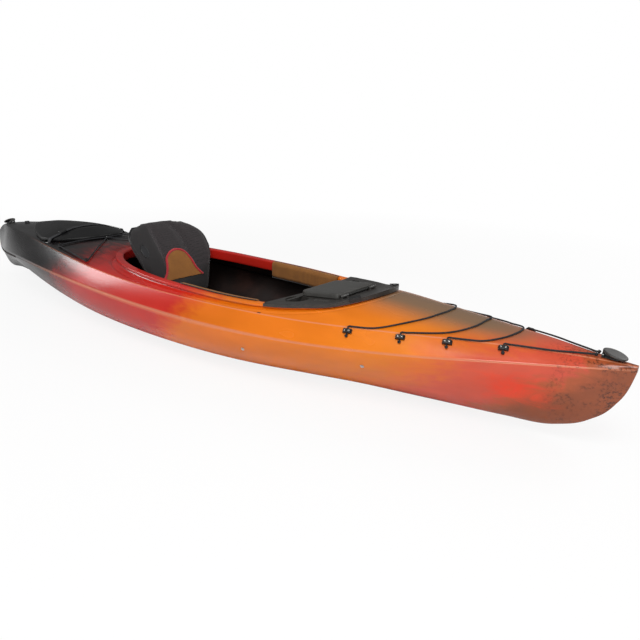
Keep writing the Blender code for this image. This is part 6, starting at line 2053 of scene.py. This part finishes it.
@dataclass
class SeatBack:
    """The reclining back: a moulded frame, a channelled pad in spacer mesh and foam, and a tan panel.

    Attributes:
        line: Height, and place along the boat, of the pad's front in the middle.
        half_widths: Height, and half the pad's width.
        wrap: How far the pad's wings come forward.
        thickness: Thickness of the pad.
        bottom: Height of its foot.
        top: Height of its top.
        channel: Share of its half width where each channel runs.
        panel_bottom: Height of the tan panel's foot.
        panel_top: Height of its top.
        panel_shape: Share of the panel's height, and half its width.
        adjuster: Place across, height, half width and half height of the strap adjuster.
        ahead: Place along the boat from which lines are dropped on the pad.
    """

    line: Table = ((.11, -.120), (.15, -.131), (.20, -.145), (.276, -.168), (.364, -.206), (.42, -.250),
                   (.472, -.300), (.505, -.332))
    half_widths: Table = ((.11, .145), (.20, .172), (.276, .198), (.34, .222), (.385, .230), (.42, .224),
                          (.453, .198), (.476, .148), (.488, .080))
    wrap: float = 0.035
    thickness: float = 0.033
    bottom: float = 0.150
    top: float = 0.488
    channel: float = 0.33
    panel_bottom: float = 0.236
    panel_top: float = 0.368
    panel_shape: Table = ((0.0, 0.124), (0.10, 0.110), (0.25, 0.093), (0.45, 0.081), (0.62, 0.073),
                          (0.78, 0.062), (0.90, 0.045), (0.97, 0.026), (1.0, 0.008))
    adjuster: tuple[float, float, float, float] = (-0.176, 0.382, 0.017, 0.027)
    ahead: float = 0.2

    def __post_init__(self) -> None:
        """Fair the back's line and widths."""
        self.lean, self.half_width = fair(self.line), fair(self.half_widths)

    def rear_face(self, y: float, z: float) -> float:
        """Give how far forward the pad's rear face is."""
        return self.lean(z) - self.thickness - 0.0008 + self.wrap * (abs(y) / 0.222) ** 2.2

    def give(self, p: Vector) -> float:
        """Hold the rear face and the channels, and let the rest of the pad swell."""
        face = smooth_step((p.x - self.rear_face(p.y, p.z) - 0.004) / 0.010)
        share = abs(p.y) / self.half_width(p.z)
        channel = math.exp(-((share - self.channel) / 0.10) ** 2) * smooth_step((p.z - 0.30) / 0.03)
        return 0.0005 + 0.0055 * face * (1 - 0.92 * channel)

    def make_panel(self, pad: bpy.types.Object, repeats: Repeats) -> None:
        """Lay the tan panel on the pad, its red binding open at the foot, and a row of stitches.

        Args:
            pad: The pad that it lies on.
            repeats: Sews the stitches.
        """
        rows, columns = 26, 25
        bell = fair(self.panel_shape)
        grid, edge_left, edge_right = [], [], []
        for k in range(rows):
            s = k / (rows - 1)
            z = self.panel_bottom + (self.panel_top - self.panel_bottom) * (1 - (1 - s) ** 1.5)
            wide = bell((z - self.panel_bottom) / (self.panel_top - self.panel_bottom))
            starts = [Vector((self.ahead, wide * (2 * i / (columns - 1) - 1), z)) for i in range(columns)]
            line = cast(pad, starts, AFT, 0.0006)
            grid.append(line)
            edge_right.append(line[0])
            edge_left.append(line[-1])
        verts, faces = loft(grid, caps=False, open_rings=True)
        made = new_piece("seat_back_panel_cloth", verts, faces)
        face_outwards(made, 1e-6)
        if sum(p.normal.x for p in made.data.polygons) < 0:
            made.data.flip_normals()
        cloth = made.modifiers.new("cloth", 'SOLIDIFY')
        cloth.thickness, cloth.offset = 0.0034, 1.0
        round_edge = made.modifiers.new("edge", 'BEVEL')
        round_edge.width, round_edge.segments = 0.0009, 2
        round_edge.limit_method = 'ANGLE'
        bake(made)
        place_piece(made, TAN, "seat_back_body", "seat_back_panel")
        out = Vector((0.0022, 0, 0))
        rim = [p + out for p in edge_right] + [p + out for p in reversed(edge_left)]
        tube = swept("seat_back_panel_binding", even_line(rim, 0.005), 0.0058, 12)
        place_piece(tube, RED_PIPING, "seat_back_body")
        centre = sum((p for p in rim), Vector()) / len(rim)
        inner = [p + Vector((0.0022, (centre.y - p.y) * 0.06, (centre.z - p.z) * 0.06)) for p in rim]
        met = cast(made, [p - 0.1 * AFT for p in inner], AFT, 0.0002)
        seam = [p + Vector((0.0003, 0, 0)) for p in met]
        repeats.sew("seat_back_panel_stitches", [even_line(seam, 0.004)], 0.0036, THREAD,
                    "seat_back_body")

    def adjuster_oval(self, pad: bpy.types.Object, scale: float, count: int, lift: float) -> list[Vector]:
        """Draw an oval on the pad round the strap adjuster's middle.

        Args:
            pad: The pad.
            scale: Share of the adjuster's size.
            count: Number of points.
            lift: Height over the pad.

        Returns:
            The points.
        """
        y, z, wide, tall = self.adjuster
        turns = [2 * math.pi * k / count for k in range(count)]
        starts = [Vector((self.ahead, y + wide * scale * math.cos(t), z + tall * scale * math.sin(t)))
                  for t in turns]
        return cast(pad, starts, AFT, lift)

    def make_trim(self, pad: bpy.types.Object, repeats: Repeats) -> None:
        """Add the pad's binding, its channel seams, and the strap adjuster's oval bezel.

        Args:
            pad: The pad.
            repeats: Sews the stitches.
        """
        flank = []
        for z in (float(v) for v in np.linspace(self.bottom + 0.012, self.top - 0.002, 36)):
            y = self.half_width(z)
            flank.append(Vector((self.rear_face(y, z) + 0.005, y, z)))
        y_top = 0.9 * flank[-1].y
        over = [Vector((self.rear_face(y, self.top) + 0.005, y, self.top))
                for y in np.linspace(y_top, -y_top, 11)]
        tree = surface(pad)
        rim = []
        for p in flank + over + [Vector((p.x, -p.y, p.z)) for p in reversed(flank)]:
            way = (Vector((p.x, 0, 0.33)) - p).normalized()
            met = tree.ray_cast(p - way * 0.05, way)[0]
            if met is not None:
                rim.append(met)
        for _ in range(3):
            rim = [rim[0], *[(a + 2 * b + c) / 4 for a, b, c in zip(rim, rim[1:], rim[2:])], rim[-1]]
        tube = swept("seat_back_binding", even_line(rim, 0.006), 0.0027, 10)
        place_piece(tube, PIPING, "seat_back_body")
        rows = []
        for side in Side:
            for share in (self.channel - 0.016, self.channel + 0.016):
                starts = [Vector((self.ahead, side.value * share * self.half_width(float(z)), float(z)))
                          for z in np.linspace(0.340, 0.462, 26)]
                rows.append(cast(pad, starts, AFT, 0.0003))
        seam = [Vector((self.ahead, MESH.seam_y, float(z))) for z in np.linspace(0.17, 0.455, 50)]
        rows.append(cast(pad, seam, AFT, 0.0003))
        repeats.sew("seat_back_stitches", rows, 0.0048, THREAD, "seat_back_body")
        bezel = even_line(self.adjuster_oval(pad, 1.0, 40, 0.0004), 0.003, True)
        place_piece(swept("seat_back_adjuster_bezel", bezel, 0.0026, 10, closed=True), BLACK,
                    "seat_back_body")
        rings = [self.adjuster_oval(pad, scale, 32, lift) for scale, lift in
                 ((0.96, 0.0004), (0.9, 0.0012), (0.6, 0.0012), (0.3, 0.0012), (0.05, 0.0012))]
        plate = new_piece("seat_back_adjuster_plate", *loft(rings))
        face_outwards(plate, 1e-6)
        place_piece(plate, RUBBER, "seat_back_body")

    def build(self, repeats: Repeats) -> None:
        """Build the back.

        Args:
            repeats: Sews the stitches.
        """
        pad = stuffed("seat_back_pad", MESH, 0.005, self.give, 24)
        self.make_panel(pad, repeats)
        self.make_trim(pad, repeats)
        eased("seat_back_frame", BLACK, 0.0012)
        eased("seat_back_rod", STEEL, 0.0006)
        for side in Side:
            eased(f"seat_buckle_{side.word}", BLACK, 0.0012)


@dataclass
class SeatAndPads:
    """The seat's moulded base, its dished cushion, and the two thigh pads on the coaming.

    Attributes:
        cushion_bottom: Height of the cushion's flat underside.
        pad_rear: Rear end of the thigh pads along the boat.
        pad_front: Their front end.
        pad_depth: How far they hang below the lip.
    """

    cushion_bottom: float = 0.0856
    pad_rear: float = 0.18
    pad_front: float = 0.60
    pad_depth: float = 0.075

    def cushion_give(self, p: Vector) -> float:
        """Hold the cushion's flat underside."""
        return 0.0006 + 0.006 * smooth_step((p.z - self.cushion_bottom - 0.004) / 0.012)

    def thigh_give(self, p: Vector) -> float:
        """Let a thigh pad swell a little."""
        return 0.0012

    def lip_point(self, x: float, side: int, out: float, rise: float) -> Vector:
        """Give a point by the lip.

        Args:
            x: Place along the boat on the lip's outer edge.
            side: 1 to port, -1 to starboard.
            out: Distance out from that edge.
            rise: Height over the lip.

        Returns:
            The point.
        """
        reach = LINES.lip_front - LINES.lip_middle
        widths = [LINES.lip_half_width * (1 - max((v - LINES.lip_middle) / reach, 0.0) ** 2) ** 0.5
                  for v in (x - 0.002, x, x + 0.002)]
        normal = Vector((-(widths[2] - widths[0]) / 0.004, side, 0)).normalized()
        return Vector((x, side * widths[1], LINES.lip_height(x) + rise)) + normal * out

    def build(self, repeats: Repeats) -> None:
        """Build the seat base and the pads.

        Args:
            repeats: Sews the stitches.
        """
        eased("seat_frame", BLACK, 0.0014)
        cushion = stuffed("seat_cushion", FABRIC, 0.006, self.cushion_give)
        loop = []
        for k in range(72):
            a = 2 * math.pi * k / 72
            loop.append(Vector((0.054 + 0.128 * math.copysign(abs(math.cos(a)) ** 0.35, math.cos(a)),
                                0.150 * math.copysign(abs(math.sin(a)) ** 0.35, math.sin(a)), 0.3)))
        down = Vector((0, 0, -1))
        repeats.sew("seat_cushion_stitches", [even_line(cast(cushion, loop, down, 0.0002), 0.005, True)],
                    0.0045, THREAD, "hull_body")
        inner = -LINES.lip_width - 0.0012
        for side in Side:
            stuffed(f"thigh_pad_{side.word}", TAN, 0.0035, self.thigh_give)
            tubes = []
            places = [self.pad_rear + 0.004 + (self.pad_front - self.pad_rear - 0.008) * k / 40
                      for k in range(41)]
            for out, rise in ((-0.0275, 0.0030), (inner - 0.0105, -self.pad_depth + 0.0022)):
                line = [self.lip_point(x, side.value, out, rise) for x in places]
                tubes.append(swept(f"thigh_pad_{side.word}_edge_{len(tubes)}", line, 0.0022, 8))
            place_piece(combined(f"thigh_pad_{side.word}_binding", tubes), PIPING, "hull_body")


class FootBraces:
    """The foot braces' rails, pedals and screws, and the foam bulkhead behind the cockpit."""

    def build(self) -> None:
        """Build the braces and the bulkhead."""
        for side in Side:
            eased(f"foot_rail_{side.word}", BLACK, 0.0010)
            eased(f"foot_peg_{side.word}", GREY, 0.0012)
            for end in ("front", "rear"):
                eased(f"rail_screw_{end}_{side.word}", STEEL, 0.0007, 30.0)
        eased("stern_bulkhead", FOAM, 0.0015, 50.0)


@dataclass
class WorkDeck:
    """The tray over the coaming's front, with its lid, latch, clips, cup wells and ribs.

    Attributes:
        rib_count: Ribs on each side.
        rib_pitch: Distance from rib to rib.
        rib_size: Width, length and height of a rib.
        ribs_from: Place along and across of the first rib.
    """

    rib_count: int = 6
    rib_pitch: float = 0.0105
    rib_size: tuple[float, float, float] = (0.0040, 0.044, 0.0016)
    ribs_from: tuple[float, float] = (0.792, 0.152)

    def tray_top(self, x: float) -> float:
        """Give the height of the tray's top face."""
        return LINES.lip_height(x) + 0.0066

    def rib(self) -> tuple[list, list]:
        """Make one low rib with rounded ends.

        Returns:
            Points and faces.
        """
        long, wide, tall = self.rib_size[1] / 2, self.rib_size[0] / 2, self.rib_size[2]
        section = [(-wide, -0.0012), (-wide, 0.45 * tall), (-0.6 * wide, tall), (0.6 * wide, tall),
                   (wide, 0.45 * tall), (wide, -0.0012)]
        rings = []
        for y, s in ((-long, 0.45), (-long + 0.0012, 0.85), (-long + 0.0026, 1.0), (long - 0.0026, 1.0),
                     (long - 0.0012, 0.85), (long, 0.45)):
            rings.append([(u * s, y, w * (s if w > 0 else 1.0)) for u, w in section])
        return loft(rings)

    def build(self, repeats: Repeats) -> None:
        """Build the work deck.

        Args:
            repeats: Sets out the ribs and screws.
        """
        eased("work_deck", GREY, 0.0013, 30.0, 3)
        eased("work_deck_lid", DARK_GREY, 0.0016, 30.0, 3)
        eased("lid_pin", DARK_STEEL, 0.0004)
        eased("lid_latch", BLACK, 0.0009)
        spots = []
        for side in Side:
            eased(f"work_deck_clip_{side.word}", BLACK, 0.0010)
            eased(f"cup_bar_{side.word}", GREY, 0.0009)
            for k in range(self.rib_count):
                x = self.ribs_from[0] + self.rib_pitch * k
                rise = (self.tray_top(x + 0.004) - self.tray_top(x - 0.004)) / 0.008
                spots.append(frame_at(Vector((x, side.value * self.ribs_from[1], self.tray_top(x))),
                                      Vector((1, 0, rise)), Vector((-rise, 0, 1))))
        repeats.set_out("work_deck_ribs", spots, self.rib(), GREY, "work_deck_body")


# The studio

@dataclass
class Studio:
    """Pale floor, soft lamps and the camera at the photograph's place, for a 640 x 640 frame.

    Attributes:
        place: Where the camera stands.
        azimuth: Direction that it looks in, round Z.
        elevation: How far it looks down.
        roll: How far it is rolled.
        lens: Its focal length in millimetres, for a frame 36 mm wide.
    """

    place: tuple[float, float, float] = (2.25, -2.041, 1.002)
    azimuth: float = math.radians(37.3)
    elevation: float = math.radians(17.4)
    roll: float = math.radians(1.51)
    lens: float = 650 / 640 * 36

    def add_camera(self) -> None:
        """Make the camera and set it as the scene's."""
        a, e, r = self.azimuth, self.elevation, self.roll
        ahead = Vector((-math.sin(a) * math.cos(e), math.cos(a) * math.cos(e), -math.sin(e)))
        right = Vector((math.cos(a), math.sin(a), 0))
        up = right.cross(ahead)
        turned = math.cos(r) * right + math.sin(r) * up
        risen = -math.sin(r) * right + math.cos(r) * up
        data = bpy.data.cameras.new("camera")
        data.lens, data.sensor_width = self.lens, 36.0
        camera = bpy.data.objects.new("camera", data)
        facing = Matrix((turned, risen, -ahead)).transposed().to_4x4()
        camera.matrix_world = Matrix.Translation(self.place) @ facing
        bpy.context.scene.collection.objects.link(camera)
        bpy.context.scene.camera = camera

    def add_lamp(self, name: str, place: Point, size: float, power: float) -> None:
        """Hang a square soft lamp that faces the boat's middle.

        Args:
            name: The lamp's name.
            place: Where it hangs.
            size: Its side.
            power: Its power in watts.
        """
        data = bpy.data.lights.new(name, 'AREA')
        data.energy, data.size = power, size
        lamp = bpy.data.objects.new(name, data)
        lamp.location = place
        aim = Vector((0, 0, 0.2)) - Vector(place)
        lamp.rotation_euler = aim.to_track_quat('-Z', 'Y').to_euler()
        bpy.context.scene.collection.objects.link(lamp)

    def add_floor(self) -> None:
        """Lay the floor, which shows near white to the camera and in gloss and keeps the boat's shadow."""
        data = bpy.data.meshes.new("floor")
        data.from_pydata([(-40, -40, -0.0004), (40, -40, -0.0004), (40, 40, -0.0004), (-40, 40, -0.0004)], [],
                         [(0, 1, 2, 3)])
        floor = bpy.data.objects.new("floor", data)
        bpy.context.scene.collection.objects.link(floor)
        paint = bpy.data.materials.new("matt studio floor paint")
        paint.use_nodes = True
        tree = paint.node_tree
        shader = tree.nodes["Principled BSDF"]
        shader.inputs["Base Color"].default_value = linear("#e9e9e9")
        shader.inputs["Roughness"].default_value = 0.9
        glow = add_node(tree, "ShaderNodeEmission", None, {0: linear("#ffffff"), 1: 1.0})
        path = add_node(tree, "ShaderNodeLightPath")
        spot = add_node(tree, "ShaderNodeTexCoord")
        far = add_node(tree, "ShaderNodeVectorMath", {"operation": 'LENGTH'}, {0: spot.outputs["Object"]})
        level = add_node(tree, "ShaderNodeMapRange", None,
                         {0: far.outputs["Value"], 1: 1.8, 2: 4.5, 3: 0.86, 4: 1.0})
        share = calc(tree, 'MULTIPLY', path.outputs["Is Camera Ray"], level.outputs[0])
        mixed = add_node(tree, "ShaderNodeMixShader", None,
                         {0: share, 1: shader.outputs[0], 2: glow.outputs[0]})
        tree.links.new(mixed.outputs[0], tree.nodes["Material Output"].inputs["Surface"])
        data.materials.append(paint)

    def build(self) -> None:
        """Set up the studio."""
        scene = bpy.context.scene
        scene.view_settings.view_transform = 'Standard'
        world = bpy.data.worlds.new("studio")
        scene.world = world
        world.use_nodes = True
        tree = world.node_tree
        sky = tree.nodes["Background"]
        sky.inputs[0].default_value = linear("#ffffff")
        path = add_node(tree, "ShaderNodeLightPath")
        seen = calc(tree, 'MAXIMUM', path.outputs["Is Camera Ray"], path.outputs["Is Transmission Ray"])
        plain = add_node(tree, "ShaderNodeMapRange", None,
                         {0: path.outputs["Is Glossy Ray"], 3: 0.42, 4: 0.16})
        level = add_node(tree, "ShaderNodeMix", {"data_type": 'FLOAT'},
                         {0: seen, 2: plain.outputs[0], 3: 1.0})
        tree.links.new(level.outputs[0], sky.inputs[1])
        self.add_camera()
        self.add_lamp("key", (2.3, -2.8, 4.0), 2.4, 150.0)
        self.add_lamp("edge", (-3.9, -1.7, 2.1), 1.3, 45.0)
        self.add_lamp("fill", (5.0, -2.6, 1.6), 1.8, 40.0)
        self.add_lamp("back", (2.8, 3.4, 3.0), 2.4, 70.0)
        self.add_floor()


def main() -> None:
    """Build every sub-assembly in order."""
    logging.basicConfig(level=logging.INFO, format="%(name)s: %(message)s")
    Studio().build()
    repeats = Repeats()
    shell = Shell()
    shell.make_hull()
    shell.make_deck()
    SternHatch().build(repeats)
    DeckRigging().build(repeats)
    SeatBack().build(repeats)
    SeatAndPads().build(repeats)
    FootBraces().build()
    WorkDeck().build(repeats)


if __name__ == "__main__":
    main()
